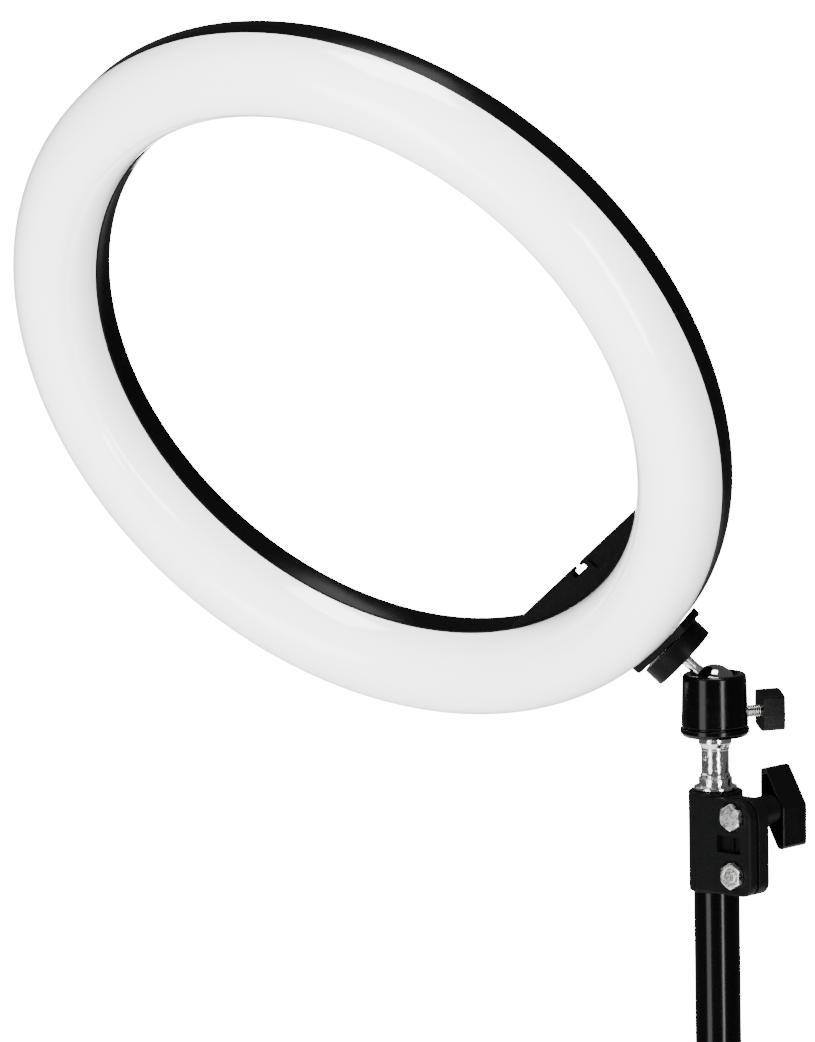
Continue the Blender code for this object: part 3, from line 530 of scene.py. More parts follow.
def diffuser_section(shrink, count):
    """The arch of the diffuser, from its inner edge to its outer edge, with a crease near its inner edge."""
    height = 21.7 * MM
    outer_half = 17.7 * MM
    inner_half = 17.3 * MM
    power = 2.25
    points = []
    for index in range(count + 1):
        angle = math.pi * (1 - index / count)
        side = math.cos(angle)
        half = outer_half if side > 0 else inner_half
        across = math.copysign(abs(side) ** (2 / power), side) * (half - shrink)
        rise = abs(math.sin(angle)) ** (2 / power) * (height - shrink)
        crease = 0.35 * MM * math.exp(-(((across + 12.2 * MM) / (0.9 * MM)) ** 2))
        points.append((DIFFUSER_MIDDLE + across, rise - crease * (shrink == 0)))
    return points


def make_diffuser():
    """The milky cover: an arched shell with a thin lip at both edges."""
    wall = 1.8 * MM
    outer = diffuser_section(0, 72)
    inner = diffuser_section(wall, 40)
    inner_edge = DIFFUSER_MIDDLE - 17.3 * MM
    outer_edge = DIFFUSER_MIDDLE + 17.7 * MM
    outer[0] = (inner_edge, 0.10 * MM)
    outer[-1] = (outer_edge, 0.10 * MM)
    inner[0] = (inner_edge + wall, 0.10 * MM)
    inner[-1] = (outer_edge - wall, 0.10 * MM)
    cover = turned("diffuser_fine", outer + inner[::-1], RING, DIFFUSER, FINE_RING_STEPS, 50)
    stands_for(cover, "diffuser", DIFFUSER)


def make_accessory_plate():
    """The crescent with its T notch, a lip along the chord, two slots and a shallow pocket."""
    chord = 117.4 * MM
    radius = RING_INNER - 0.1 * MM
    half_angle = math.degrees(math.acos(chord / radius))
    crescent = arc((0, 0), radius, 90 - half_angle, 90 + half_angle, 64)
    notch = soft(
        [
            (-3.0 * MM, chord, 0.3 * MM),
            (-3.0 * MM, chord + 1.5 * MM, 0.2 * MM),
            (-5.0 * MM, chord + 1.5 * MM, 0.3 * MM),
            (-5.0 * MM, chord + 3.7 * MM, 0.3 * MM),
            (5.0 * MM, chord + 3.7 * MM, 0.3 * MM),
            (5.0 * MM, chord + 1.5 * MM, 0.3 * MM),
            (3.0 * MM, chord + 1.5 * MM, 0.2 * MM),
            (3.0 * MM, chord, 0.3 * MM),
        ],
        3,
    )
    # soft() takes the two ends of a list as neighbours, so the mouth's own corners are put back on the chord.
    notch[0:4] = [(-3.0 * MM, chord)]
    notch[-4:] = [(3.0 * MM, chord)]
    plate = prism("accessory_plate_fine", crescent + notch, -3.5 * MM, -0.35 * MM, RING)
    lips = []
    for side in (-1, 1):
        low, high = sorted((side * 3.4 * MM, side * 50.0 * MM))
        lips.append(block("lip", (low, chord, -1 * MM), (high, chord + 0.9 * MM, 0.0), RING))
    combine(plate, lips, "UNION")
    cuts = [
        block("cut", (-15.5 * MM, chord + 1.9 * MM, -0.9 * MM), (-8.2 * MM, chord + 6.4 * MM, 1 * MM), RING),
        block("cut", (16.0 * MM, chord - 1 * MM, -1.2 * MM), (24.0 * MM, chord + 0.45 * MM, 1 * MM), RING),
        block("cut", (-34.0 * MM, chord - 1 * MM, -1.2 * MM), (-28.0 * MM, chord + 0.45 * MM, 1 * MM), RING),
    ]
    combine(plate, cuts)
    bevelled(plate, 0.18 * MM, 2)
    stands_for(plate, "accessory_plate", PLATE)


def make_foot():
    """The block under the ring, the disc and the stem below it."""
    low = 25.6 * MM
    half_length = 19.5 * MM
    radius = RING_RADIUS + 0.4 * MM
    half_angle = math.degrees(math.asin(half_length / radius))
    saddle = arc((0, BALL_TO_RING), radius, -90 - half_angle, -90 + half_angle, 32)
    under = soft(
        [
            (half_length, low + 4 * MM),
            (half_length, low, 1.5 * MM),
            (-half_length, low, 1.5 * MM),
            (-half_length, low + 4 * MM),
        ],
        6,
    )
    half_width = 6.5 * MM
    foot = prism("foot_block_fine", saddle + under[1:-1], -half_width, half_width, HEAD @ UPRIGHT)
    combine(foot, [rod("hole", 3.5 * MM, low - 1 * MM, low + 8 * MM, HEAD)])
    bevelled(foot, 0.3 * MM, 3)
    stands_for(foot, "foot_block", FITTING)

    disc_radius = 14.8 * MM
    profile = soft(
        [
            (2.65 * MM, 25.3 * MM),
            (disc_radius, 25.3 * MM, 0.5 * MM),
            (disc_radius, 16.8 * MM, 0.6 * MM),
            (6.0 * MM, 16.8 * MM, 0.2 * MM),
            (5.4 * MM, 17.5 * MM, 0.2 * MM),
            (2.65 * MM, 17.5 * MM),
        ],
        4,
    )
    stands_for(turned("lock_disc_fine", profile, HEAD), "lock_disc", FITTING)

    neck = 2.35 * MM
    profile = soft(
        [
            (0, 25.4 * MM),
            (neck, 25.4 * MM, 0.2 * MM),
            (neck, 11.2 * MM, 1.2 * MM),
            (2.75 * MM, 8.9 * MM),
            (0, 8.9 * MM),
        ]
    )
    stem = turned("stem_fine", profile, HEAD)
    combine(stem, [threaded("stem_thread", 2.2 * MM, 0.8 * MM, 25.2 * MM, 32.5 * MM, HEAD)], "UNION")
    stands_for(stem, "stem", STEM)


def make_housing_screws():
    """Pan heads with a cross recess."""
    head_low = -CASING_DEPTH - 0.3 * MM
    head_high = -CASING_DEPTH + 0.7 * MM
    for number, angle in enumerate(SCREW_ANGLES, 1):
        place = at_ring_angle(angle, SCREW_CIRCLE)
        profile = soft(
            [
                (0, 8.4 * MM),
                (1.2 * MM, 7.0 * MM),
                (1.2 * MM, head_high),
                (3.2 * MM, head_high),
                (3.2 * MM, head_low, 0.6 * MM),
                (0, head_low),
            ]
        )
        screw = turned(f"housing_screw_fine_{number}", profile, place, None, 48)
        reach = 1.5 * MM
        half = 0.35 * MM
        bars = [
            block("bar", (-reach, -half, head_low - 1 * MM), (reach, half, head_low + 0.7 * MM), place),
            block("bar", (-half, -reach, head_low - 1 * MM), (half, reach, head_low + 0.7 * MM), place),
        ]
        combine(screw, bars)
        stands_for(screw, f"housing_screw_{number}", ZINC)


def make_gland():
    """The flanged gland on the back."""
    back = -CASING_DEPTH
    profile = soft(
        [
            (3.6 * MM, -6.0 * MM),
            (3.6 * MM, back - 0.3 * MM),
            (5.2 * MM, back - 0.3 * MM, 0.2 * MM),
            (5.2 * MM, back - 1.6 * MM, 0.3 * MM),
            (4.4 * MM, back - 2.4 * MM, 0.3 * MM),
            (1.9 * MM, back - 2.4 * MM, 0.3 * MM),
            (1.9 * MM, -6.0 * MM),
        ],
        4,
    )
    gland = turned("cable_gland_fine", profile, at_ring_angle(GLAND_ANGLE, DIFFUSER_MIDDLE), None, 48)
    stands_for(gland, "cable_gland", GREY_PLASTIC)


# ---------------------------------------------------------------- ball head


def make_ball_head():
    """Ball, housing, base ring, lock screw and wing knob."""
    profile = spokes(BALL_RADIUS, range(90, -91, -5))
    profile[0] = (0, BALL_RADIUS)
    profile[-1] = (0, -BALL_RADIUS)
    stands_for(turned("ball_fine", profile, HEAD), "ball", BALL_CHROME)

    low = 27.2 * MM
    high = 48.8 * MM
    cavity = BALL_RADIUS + 0.35 * MM
    outer = soft(
        [
            (9.0 * MM, high - 2.4 * MM),
            (10.3 * MM, high, 0.7 * MM),
            (13.2 * MM, high, 1.3 * MM),
            (13.35 * MM, high - 3 * MM, 0.5 * MM),
            (13.9 * MM, low, 0.3 * MM),
            (3.3 * MM, low),
            (3.3 * MM, 29.0 * MM),
            (cavity, 29.0 * MM),
        ],
        5,
    )
    socket = arc((0, BALL_HEIGHT), cavity, 0, 20, 6)
    housing = turned("ball_housing_fine", outer + socket, COLUMN_TOP)
    direction = JOINTS["lock_knob_turn"]
    side = axes_frame(direction["pos_m"], direction["axis"], (0, 0, 1))
    combine(housing, [rod("hole", 2.75 * MM, 6 * MM, 16 * MM, side)])
    stands_for(housing, "ball_housing", ANODISED)

    low = 22.9 * MM
    profile = soft(
        [
            (3.3 * MM, 26.9 * MM),
            (13.1 * MM, 26.9 * MM, 0.1 * MM),
            (13.1 * MM, 26.5 * MM, 0.1 * MM),
            (14.35 * MM, 26.3 * MM, 0.4 * MM),
            (14.35 * MM, low + 1.5 * MM, 0.5 * MM),
            (13.2 * MM, low, 0.5 * MM),
            (3.3 * MM, low),
        ],
        4,
    )
    stands_for(turned("base_ring_fine", profile, COLUMN_TOP), "base_ring", ANODISED)

    screw = threaded("lock_screw_fine", 2.5 * MM, 1.0 * MM, 4.4 * MM, 27.1 * MM, side, None, 0.75 * MM)
    stands_for(screw, "lock_screw", SCREW)

    half = [(1.0, 8.3, 1.2), (-5.0, 6.0, 1.3), (-5.2, -2.3, 1.5), (-4.8, -8.3, 1.3)]
    corners = [(x * MM, z * MM, radius * MM) for x, z, radius in half]
    corners += [(-x, -z, radius) for x, z, radius in corners]
    knob = prism("lock_knob_fine", soft(corners, 5), 20.0 * MM, 29.5 * MM, knob_across(direction))
    combine(knob, [rod("hole", 2.75 * MM, 18.5 * MM, 27.9 * MM, side)])
    bevelled(knob, 0.7 * MM, 4)
    stands_for(knob, "lock_knob", KNOB)


def knob_across(joint):
    """A frame on a knob's axis whose Z runs along it, whose Y is up and whose X is sideways."""
    return axes_frame(joint["pos_m"], joint["axis"], (0, 0, 1))


# ---------------------------------------------------------------- clamps and knobs


def make_t_knob(node, joint, low):
    """A T-shaped knob, hollow on its inner side, around a hub."""
    half = [(6.3, 16.4, 1.7), (6.5, -0.7, 1.8), (-3.0, -17.0, 1.7)]
    corners = [(x * MM, z * MM, radius * MM) for x, z, radius in half]
    corners += [(-x, -z, radius) for x, z, radius in corners]
    place = knob_across(joint)
    high = low + 15.0 * MM
    knob = prism(f"{node}_fine", soft(corners, 6), low, high, place)
    bevelled(knob, 0.9 * MM, 4)
    pocket = [(x * 0.74, z * 0.86, radius * 0.6) for x, z, radius in corners]
    hollow = prism("hollow", soft(pocket, 4), low - 1 * MM, low + 5 * MM, place)
    combine(knob, [hollow])
    hub_high = low + 6 * MM
    hub_low = low - 0.5 * MM
    hub_profile = [(0, hub_high), (4.6 * MM, hub_high), (4.6 * MM, hub_low, 0.4 * MM), (0, hub_low)]
    hub = turned("hub", soft(hub_profile), place)
    combine(knob, [hub], "UNION")
    combine(knob, [rod("hole", 3.3 * MM, low - 2 * MM, low + 11.1 * MM, place)])
    stands_for(knob, node, KNOB)


def hexagon(name, low, high, place, chamfer_low, chamfer_high):
    """A hexagonal head or nut whose corners are turned off at one or both ends."""
    face = HEX_RADIUS * math.cos(math.radians(30)) * 0.99
    beyond = HEX_RADIUS * 1.05
    chamfer = 0.55 * MM
    head = prism(name, spokes(HEX_RADIUS, range(30, 390, 60)), low, high, place)
    profile = [(0, high)]
    profile += [(face, high), (beyond, high - chamfer)] if chamfer_high else [(beyond, high)]
    profile += [(beyond, low + chamfer), (face, low)] if chamfer_low else [(beyond, low)]
    profile += [(0, low)]
    combine(head, [turned("cone", profile, place)], "INTERSECT")
    return head


def make_clamp(name, sleeve_radius, upper_bore, lower_bore):
    """A split clamp with its bolts and nut. X points along the ears and Y along the bolts."""
    knob_joint = JOINTS[f"{name}_knob_turn"]
    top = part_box(f"{name}_clamp")[1].z
    along = Vector(knob_joint["axis"])
    origin = shift(z=top) @ turn(math.degrees(math.atan2(along.y, along.x)) - 90, "Z")
    front = -sleeve_radius - 0.1 * MM
    slit_low = front + 4.8 * MM
    slit_high = slit_low + 0.8 * MM
    rear = slit_high + 6.5 * MM
    ear_end = sleeve_radius + 17.4 * MM
    bolt_x = sleeve_radius + 7.6 * MM
    upper_drop = top - knob_joint["pos_m"][2]
    lower_drop = 32.7 * MM
    height = 42.0 * MM
    hole = 3.3 * MM

    profile = soft(
        [
            (0, 0),
            (sleeve_radius, 0, 0.7 * MM),
            (sleeve_radius, -height, 0.7 * MM),
            (0, -height),
        ]
    )
    clamp = turned(f"{name}_clamp_fine", profile, origin)
    elevation = soft(
        [
            (-2.6 * MM, -1.0 * MM),
            (-2.6 * MM, -height + 0.8 * MM),
            (ear_end, -height + 0.8 * MM, 5.4 * MM),
            (ear_end, -1.0 * MM, 8.0 * MM),
        ],
        10,
    )
    front_ear = prism("front_ear", elevation, -slit_low, -front, origin @ UPRIGHT)
    rear_ear = prism("rear_ear", elevation, -rear, -slit_high, origin @ UPRIGHT)
    bevelled(front_ear, 0.9 * MM, 4)
    bevelled(rear_ear, 0.6 * MM, 3)
    upper_along = origin @ shift(x=bolt_x, z=-upper_drop) @ ALONG_Y
    lower_along = origin @ shift(x=bolt_x, z=-lower_drop) @ ALONG_Y
    boss_end = sleeve_radius + 1.4 * MM
    boss_start = rear - 1 * MM
    boss = turned(
        "boss",
        soft([(0, boss_end), (6.25 * MM, boss_end, 0.6 * MM), (6.25 * MM, boss_start), (0, boss_start)]),
        upper_along,
        None,
        64,
    )
    combine(clamp, [front_ear, rear_ear, boss], "UNION")
    step = 13.7 * MM
    cuts = [
        rod("bore", upper_bore, -step - 0.1 * MM, 2 * MM, origin, FINE_STEPS),
        rod("bore", lower_bore, -height - 2 * MM, -step, origin, FINE_STEPS),
        block("slit", (3 * MM, slit_low, -height - 1 * MM), (ear_end + 1 * MM, slit_high, 1 * MM), origin),
        rod("hole", hole, front - 2 * MM, boss_end + 1 * MM, upper_along),
        rod("hole", hole, front - 2 * MM, rear + 1 * MM, lower_along),
        rod("recess", 6.4 * MM, front - 1 * MM, front + 1.0 * MM, upper_along, 64),
        rod("recess", 6.4 * MM, front - 1 * MM, front + 1.0 * MM, lower_along, 64),
    ]
    window = soft(
        [
            (sleeve_radius - 1.0 * MM, -23.5 * MM, 0.6 * MM),
            (sleeve_radius + 12.0 * MM, -23.5 * MM, 0.6 * MM),
            (sleeve_radius + 12.0 * MM, -16.3 * MM, 0.6 * MM),
            (sleeve_radius - 1.0 * MM, -16.3 * MM, 0.6 * MM),
        ],
        4,
    )
    cuts.append(prism("window", window, -front - 3.6 * MM, -front + 1 * MM, origin @ UPRIGHT))
    combine(clamp, cuts)
    rib_low = (sleeve_radius + 4.9 * MM, front + 2.6 * MM, -23.8 * MM)
    rib_high = (sleeve_radius + 6.1 * MM, front + 4.0 * MM, -16.0 * MM)
    combine(clamp, [block("rib", rib_low, rib_high, origin)], "UNION")
    bevelled(clamp, 0.14 * MM, 2, 50)
    stands_for(clamp, f"{name}_clamp", COLLAR)

    head_low = front - 2.0 * MM
    head_high = front + 0.7 * MM
    knob_low = boss_end + 0.9 * MM
    bolt = hexagon(f"{name}_bolt_fine", head_low, head_high, upper_along, True, False)
    combine(bolt, [rod("shank", 2.95 * MM, head_high - 1 * MM, knob_low + 10.5 * MM, upper_along)], "UNION")
    bevelled(bolt, 0.12 * MM, 2)
    stands_for(bolt, f"{name}_bolt", ZINC)

    lower = hexagon(f"{name}_lower_bolt_fine", rear + 0.3 * MM, rear + 4.3 * MM, lower_along, False, True)
    flipped = lower_along @ turn(180, "X")
    shank = threaded("shank", 2.95 * MM, 1.0 * MM, -rear - 1 * MM, -front + 2.5 * MM, flipped)
    combine(lower, [shank], "UNION")
    stands_for(lower, f"{name}_lower_bolt", ZINC)

    nut = hexagon(f"{name}_nut_fine", head_low, head_high, lower_along, True, False)
    combine(nut, [rod("hole", 3.05 * MM, head_low - 1 * MM, head_high + 1 * MM, lower_along)])
    mouth_low = head_low - 1 * MM
    mouth_high = head_low + 0.6 * MM
    mouth_profile = [(0, mouth_low), (4.6 * MM, mouth_low), (3.0 * MM, mouth_high), (0, mouth_high)]
    mouth = turned("mouth", mouth_profile, lower_along)
    combine(nut, [mouth])
    bevelled(nut, 0.12 * MM, 2)
    stands_for(nut, f"{name}_nut", ZINC)

    make_t_knob(f"{name}_knob", knob_joint, knob_low)


# ---------------------------------------------------------------- column


def make_spigot():
    """The spigot with its flange, rings, waist and cross hole."""
    profile = soft(
        [
            (0, 28.7 * MM),
            (3.0 * MM, 28.7 * MM, 0.4 * MM),
            (3.0 * MM, 22.75 * MM),
            (6.83 * MM, 22.75 * MM, 0.4 * MM),
            (6.83 * MM, 19.9 * MM, 0.6 * MM),
            (5.95 * MM, 18.0 * MM, 0.6 * MM),
            (5.95 * MM, 17.1 * MM, 0.1 * MM),
            (5.75 * MM, 16.9 * MM, 0.1 * MM),
            (5.75 * MM, 7.4 * MM, 0.3 * MM),
            (6.3 * MM, 6.6 * MM, 0.3 * MM),
            (6.3 * MM, 5.9 * MM, 0.1 * MM),
            (6.0 * MM, 5.6 * MM, 0.1 * MM),
            (7.0 * MM, 5.2 * MM, 0.2 * MM),
            (7.0 * MM, 1.9 * MM, 0.2 * MM),
            (9.05 * MM, 1.8 * MM, 0.5 * MM),
            (9.05 * MM, 0.2 * MM, 0.4 * MM),
            (6.7 * MM, 0.2 * MM),
            (6.7 * MM, -30.0 * MM, 0.6 * MM),
            (0, -30.0 * MM),
        ],
        4,
    )
    spigot = turned("spigot_fine", profile, COLUMN_TOP)
    hole_place = COLUMN_TOP @ turn(215, "Z") @ shift(z=13.6 * MM) @ ALONG_X
    hole = rod("cross", 1.5 * MM, 3.0 * MM, 12 * MM, hole_place, 32)
    combine(spigot, [hole])
    bevelled(spigot, 0.1 * MM, 2, 60)
    stands_for(spigot, "spigot", CHROME)


def make_tube(node):
    """A drawn tube with rolled ends, taken from the CAD tube's own box."""
    low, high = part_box(node)
    radius = (high.x - low.x) / 2
    wall = 1.0 * MM
    profile = soft(
        [
            (radius, high.z, 0.35 * MM),
            (radius, low.z, 0.35 * MM),
            (radius - wall, low.z, 0.2 * MM),
            (radius - wall, high.z, 0.2 * MM),
        ],
        4,
    )
    stands_for(turned(f"{node}_fine", profile), node, TUBE)


def make_base_plug():
    """The rubber foot of the column."""
    profile = soft(
        [
            (0, 22.0 * MM),
            (9.7 * MM, 22.0 * MM, 0.8 * MM),
            (9.7 * MM, 8.0 * MM),
            (12.5 * MM, 8.0 * MM, 0.6 * MM),
            (12.5 * MM, 5.4 * MM, 0.1 * MM),
            (12.1 * MM, 5.0 * MM, 0.1 * MM),
            (12.1 * MM, 4.2 * MM, 0.1 * MM),
            (12.5 * MM, 3.8 * MM, 0.1 * MM),
            (12.5 * MM, 0, 1.6 * MM),
            (0, 0),
        ],
        4,
    )
    stands_for(turned("base_plug_fine", profile), "base_plug", RUBBER)


# ---------------------------------------------------------------- tripod

LEG_WIDTH = 15.0 * MM
LEG_DEPTH = 12.0 * MM
LEG_WALL = 1.2 * MM
PIN_HOLE = 2.5 * MM


def around(azimuth):
    """A frame whose X points outwards at an azimuth in degrees."""
    return turn(azimuth, "Z")


def leg_joint(number):
    """The hinges of one leg: at the hub and at the middle of the leg."""
    hub_name = "tripod_fold" if number == 1 else f"brace_{number}_fold"
    return JOINTS[hub_name], JOINTS[f"leg_{number}_fold"]


def dome_pin(name, radius, head_radius, half, place):
    """A rivet with a domed head at both ends."""
    dome = 1.1 * MM
    cap = [(0, dome), (head_radius * 0.4, dome * 0.95), (head_radius * 0.75, dome * 0.7)]
    cap += [(head_radius * 0.95, dome * 0.35), (head_radius, 0)]
    profile = [(r, half + z) for r, z in cap] + [(radius, half), (radius, -half)]
    profile += [(r, -half - z) for r, z in reversed(cap)]
    return turned(name, profile, place, None, 40)


def make_hub():
    """The lower hub, slotted for the braces, and its pins."""
    pivot = Vector(JOINTS["tripod_fold"]["pos_m"])
    height = pivot.z
    pivot_radius = math.hypot(pivot.x, pivot.y)
    low = height - 8 * MM
    high = height + 8 * MM
    bore = 11.2 * MM
    profile = soft(
        [
            (bore, high + 10 * MM, 0.3 * MM),
            (15.2 * MM, high + 10 * MM, 1.0 * MM),
            (15.5 * MM, high, 1.5 * MM),
            (29.0 * MM, high, 1.8 * MM),
            (29.0 * MM, low, 1.8 * MM),
            (bore, low, 0.3 * MM),
        ],
        5,
    )
    hub = turned("lower_hub_fine", profile)
    half_slot = 5.4 * MM
    tools = []
    for number in (1, 2, 3):
        axis = Vector(leg_joint(number)[0]["axis"])
        azimuth = math.degrees(math.atan2(axis.y, axis.x)) - 90
        place = around(azimuth)
        slot_low = (17 * MM, -half_slot, low - 1 * MM)
        slot_high = (31 * MM, half_slot, high + 1 * MM)
        tools.append(block("slot", slot_low, slot_high, place))
        axle = place @ shift(x=pivot_radius, z=height) @ ALONG_Y
        tools.append(rod("hole", PIN_HOLE, -20 * MM, 20 * MM, axle, 32))
        pin = dome_pin(f"hub_pin_fine_{number}", 2.2 * MM, 2.4 * MM, 14.0 * MM, axle)
        stands_for(pin, f"hub_pin_{number}", ZINC)
    combine(hub, tools)
    bevelled(hub, 0.5 * MM, 3, 45)
    stands_for(hub, "lower_hub", COLLAR)


def make_leg_collar():
    """The sliding collar with its lugs, clamp screw and knob."""
    knob_joint = JOINTS["leg_collar_knob_turn"]
    height = knob_joint["pos_m"][2]
    origin = shift(z=height)
    bore = 11.2 * MM
    half_height = 18 * MM
    profile = soft(
        [
            (bore, half_height, 0.3 * MM),
            (15.0 * MM, half_height, 1.0 * MM),
            (15.0 * MM, -half_height, 1.0 * MM),
            (bore, -half_height, 0.3 * MM),
        ],
        4,
    )
    collar = turned("leg_collar_fine", profile, origin)
    pivot = Vector(JOINTS["tripod_fold"]["pos_m"])
    pivot_radius = math.hypot(pivot.x, pivot.y)
    arms = []
    holes = []
    for number in (1, 2, 3):
        axis = Vector(leg_joint(number)[0]["axis"])
        azimuth = math.degrees(math.atan2(axis.y, axis.x)) - 90
        facing = origin @ around(azimuth)
        outline = [(13.0 * MM, 4.5 * MM), (13.0 * MM, -4.5 * MM)]
        outline += arc((pivot_radius, 0), 4.5 * MM, -90, 90, 16)
        arm = prism("arm", outline, -5.5 * MM, 5.5 * MM, facing @ UPRIGHT)
        bevelled(arm, 0.5 * MM, 3)
        arms.append(arm)
        axle = facing @ shift(x=pivot_radius) @ ALONG_Y
        holes.append(rod("hole", PIN_HOLE, -8 * MM, 8 * MM, axle, 32))
        profile = soft(
            [(0, 6 * MM), (2.3 * MM, 6 * MM, 0.3 * MM), (2.3 * MM, -6 * MM, 0.3 * MM), (0, -6 * MM)], 3
        )
        stands_for(turned(f"lug_pin_fine_{number}", profile, axle, None, 40), f"lug_pin_{number}", ZINC)
    side = axes_frame(knob_joint["pos_m"], knob_joint["axis"], (0, 0, 1))
    boss_profile = soft([(0, 20 * MM), (6.5 * MM, 20 * MM, 0.6 * MM), (6.5 * MM, 13 * MM), (0, 13 * MM)])
    arms.append(turned("boss", boss_profile, side, None, 64))
    combine(collar, arms, "UNION")
    holes.append(rod("hole", 3.3 * MM, 8 * MM, 22 * MM, side))
    combine(collar, holes)
    stands_for(collar, "leg_collar", COLLAR)
    screw = threaded("leg_collar_bolt_fine", 3.0 * MM, 1.0 * MM, 11.6 * MM, 31.4 * MM, side)
    stands_for(screw, "leg_collar_bolt", ZINC)
    make_t_knob("leg_collar_knob", knob_joint, 20.9 * MM)


def make_leg(number):
    """One leg: channel, rubber foot, rivets and brace."""
    hub_joint, middle_joint = leg_joint(number)
    hub_pin = Vector(hub_joint["pos_m"])
    middle = Vector(middle_joint["pos_m"])
    tangent = Vector(middle_joint["axis"])
    brace_length = (middle - hub_pin).length
    rise = (middle - hub_pin).normalized()
    fall = Vector((rise.x, rise.y, -rise.z))
    outer_normal = fall.cross(tangent)
    place = axes_frame(middle, fall, outer_normal)
    top = -brace_length
    end = 0.455 - brace_length

    half = LEG_WIDTH / 2
    depth = LEG_DEPTH / 2
    inner = half - LEG_WALL
    outline = soft(
        [
            (-half, -depth, 0.3 * MM),
            (-inner, -depth, 0.3 * MM),
            (-inner, depth - LEG_WALL, 0.8 * MM),
            (inner, depth - LEG_WALL, 0.8 * MM),
            (inner, -depth, 0.3 * MM),
            (half, -depth, 0.3 * MM),
            (half, depth, 2.0 * MM),
            (-half, depth, 2.0 * MM),
        ],
        4,
    )
    leg = prism(f"leg_fine_{number}", outline, top - 7 * MM, end - 15 * MM, place)
    nose = soft(
        [
            (top - 7 * MM, -depth - 1 * MM, 4.5 * MM),
            (top - 7 * MM, depth + 1 * MM, 4.5 * MM),
            (end, depth + 1 * MM),
            (end, -depth - 1 * MM),
        ],
        6,
    )
    sideways = turn(90, "Y") @ turn(90, "Z")
    swap = Matrix(((0, 1, 0, 0), (1, 0, 0, 0), (0, 0, -1, 0), (0, 0, 0, 1)))
    combine(leg, [prism("nose", nose, -10 * MM, 10 * MM, place @ sideways @ swap)], "INTERSECT")
    holes = [
        rod("hole", PIN_HOLE, -10 * MM, 10 * MM, place @ ALONG_X, 32),
        rod("hole", PIN_HOLE, -10 * MM, 10 * MM, place @ shift(z=top) @ ALONG_X, 32),
    ]
    combine(leg, holes)
    bevelled(leg, 0.12 * MM, 2, 50)
    stands_for(leg, f"leg_{number}", LEG_PAINT)

    pin = dome_pin(f"mid_pin_fine_{number}", 2.2 * MM, 3.6 * MM, half + 0.05 * MM, place @ ALONG_X)
    stands_for(pin, f"mid_pin_{number}", ZINC)
    for side, sign in (("left", -1), ("right", 1)):
        head = soft([(0, 1.0 * MM), (2.4 * MM, 0.9 * MM, 0.3 * MM), (3.6 * MM, 0, 0.1 * MM), (0, 0)], 3)
        where = place @ shift(x=sign * half, z=top) @ turn(90 * sign, "Y")
        cap = turned(f"leg_rivet_{number}_{side}", head, where, ZINC, 40)
        goes_with(cap, f"mid_pin_{number}")

    make_foot_cap(number, place, end, depth)
    make_brace(number, hub_pin, rise, tangent, brace_length)


def make_foot_cap(number, place, end, depth):
    """The rubber foot: a ribbed cap cut level with the floor."""
    half_width = 9.5 * MM
    half_depth = 8.0 * MM
    outline = soft(
        [
            (-half_width, -half_depth, 2.0 * MM),
            (half_width, -half_depth, 2.0 * MM),
            (half_width, half_depth, 2.5 * MM),
            (-half_width, half_depth, 2.5 * MM),
        ],
        6,
    )
    foot = prism(f"foot_fine_{number}", outline, end - 34 * MM, end + 15 * MM, place)
    bevelled(foot, 1.0 * MM, 4)
    half = LEG_WIDTH / 2 + 0.1 * MM
    pocket_low = (-half, -depth - 0.1 * MM, end - 40 * MM)
    pocket_high = (half, depth + 0.1 * MM, end - 14.8 * MM)
    tools = [block("pocket", pocket_low, pocket_high, place)]
    for rib in range(4):
        z = end - 26 * MM + rib * 5 * MM
        groove_low = (-12 * MM, half_depth - 0.5 * MM, z)
        groove_high = (12 * MM, half_depth + 2 * MM, z + 1.6 * MM)
        tools.append(block("groove", groove_low, groove_high, place))
    tools.append(block("floor", (-0.6, -0.6, -0.06), (0.6, 0.6, 0)))
    combine(foot, tools)
    stands_for(foot, f"foot_{number}", RUBBER)


def make_brace(number, hub_pin, rise, tangent, length):
    """A flat brace with round ends and a pressed groove."""
    place = axes_frame(hub_pin, rise, rise.cross(tangent))
    radius = 3.5 * MM
    outline = arc((0, 0), radius, 180, 360, 16) + arc((0, length), radius, 0, 180, 16)
    sideways = turn(90, "Y") @ turn(90, "Z")
    brace = prism(f"brace_fine_{number}", outline, -5 * MM, 5 * MM, place @ sideways)
    bevelled(brace, 0.8 * MM, 3)
    tools = [
        rod("hole", PIN_HOLE, -10 * MM, 10 * MM, place @ ALONG_X, 32),
        rod("hole", PIN_HOLE, -10 * MM, 10 * MM, place @ shift(z=length) @ ALONG_X, 32),
    ]
    for side in (-1, 1):
        low, high = sorted((side * 2.5 * MM, side * 5 * MM))
        tools.append(block("groove", (-3 * MM, low, 14 * MM), (3 * MM, high, length - 14 * MM), place))
    combine(brace, tools)
    stands_for(brace, f"brace_{number}", LEG_PAINT)


# ---------------------------------------------------------------- carried-over CAD nodes


def dress_cad_nodes():
    """Hidden and small CAD pieces keep their shape and get a full material."""
    chosen = {
        "led_board": BOARD,
        "foot_insert": BRASS,
        "ball_seat": BRASS,
        "top_glide": GREY_PLASTIC,
        "mid_glide": GREY_PLASTIC,
    }
    for node, material in chosen.items():
        mesh = frame["nodes"][node].data
        mesh.materials.clear()
        mesh.materials.append(material)


# ---------------------------------------------------------------- camera, light and floor


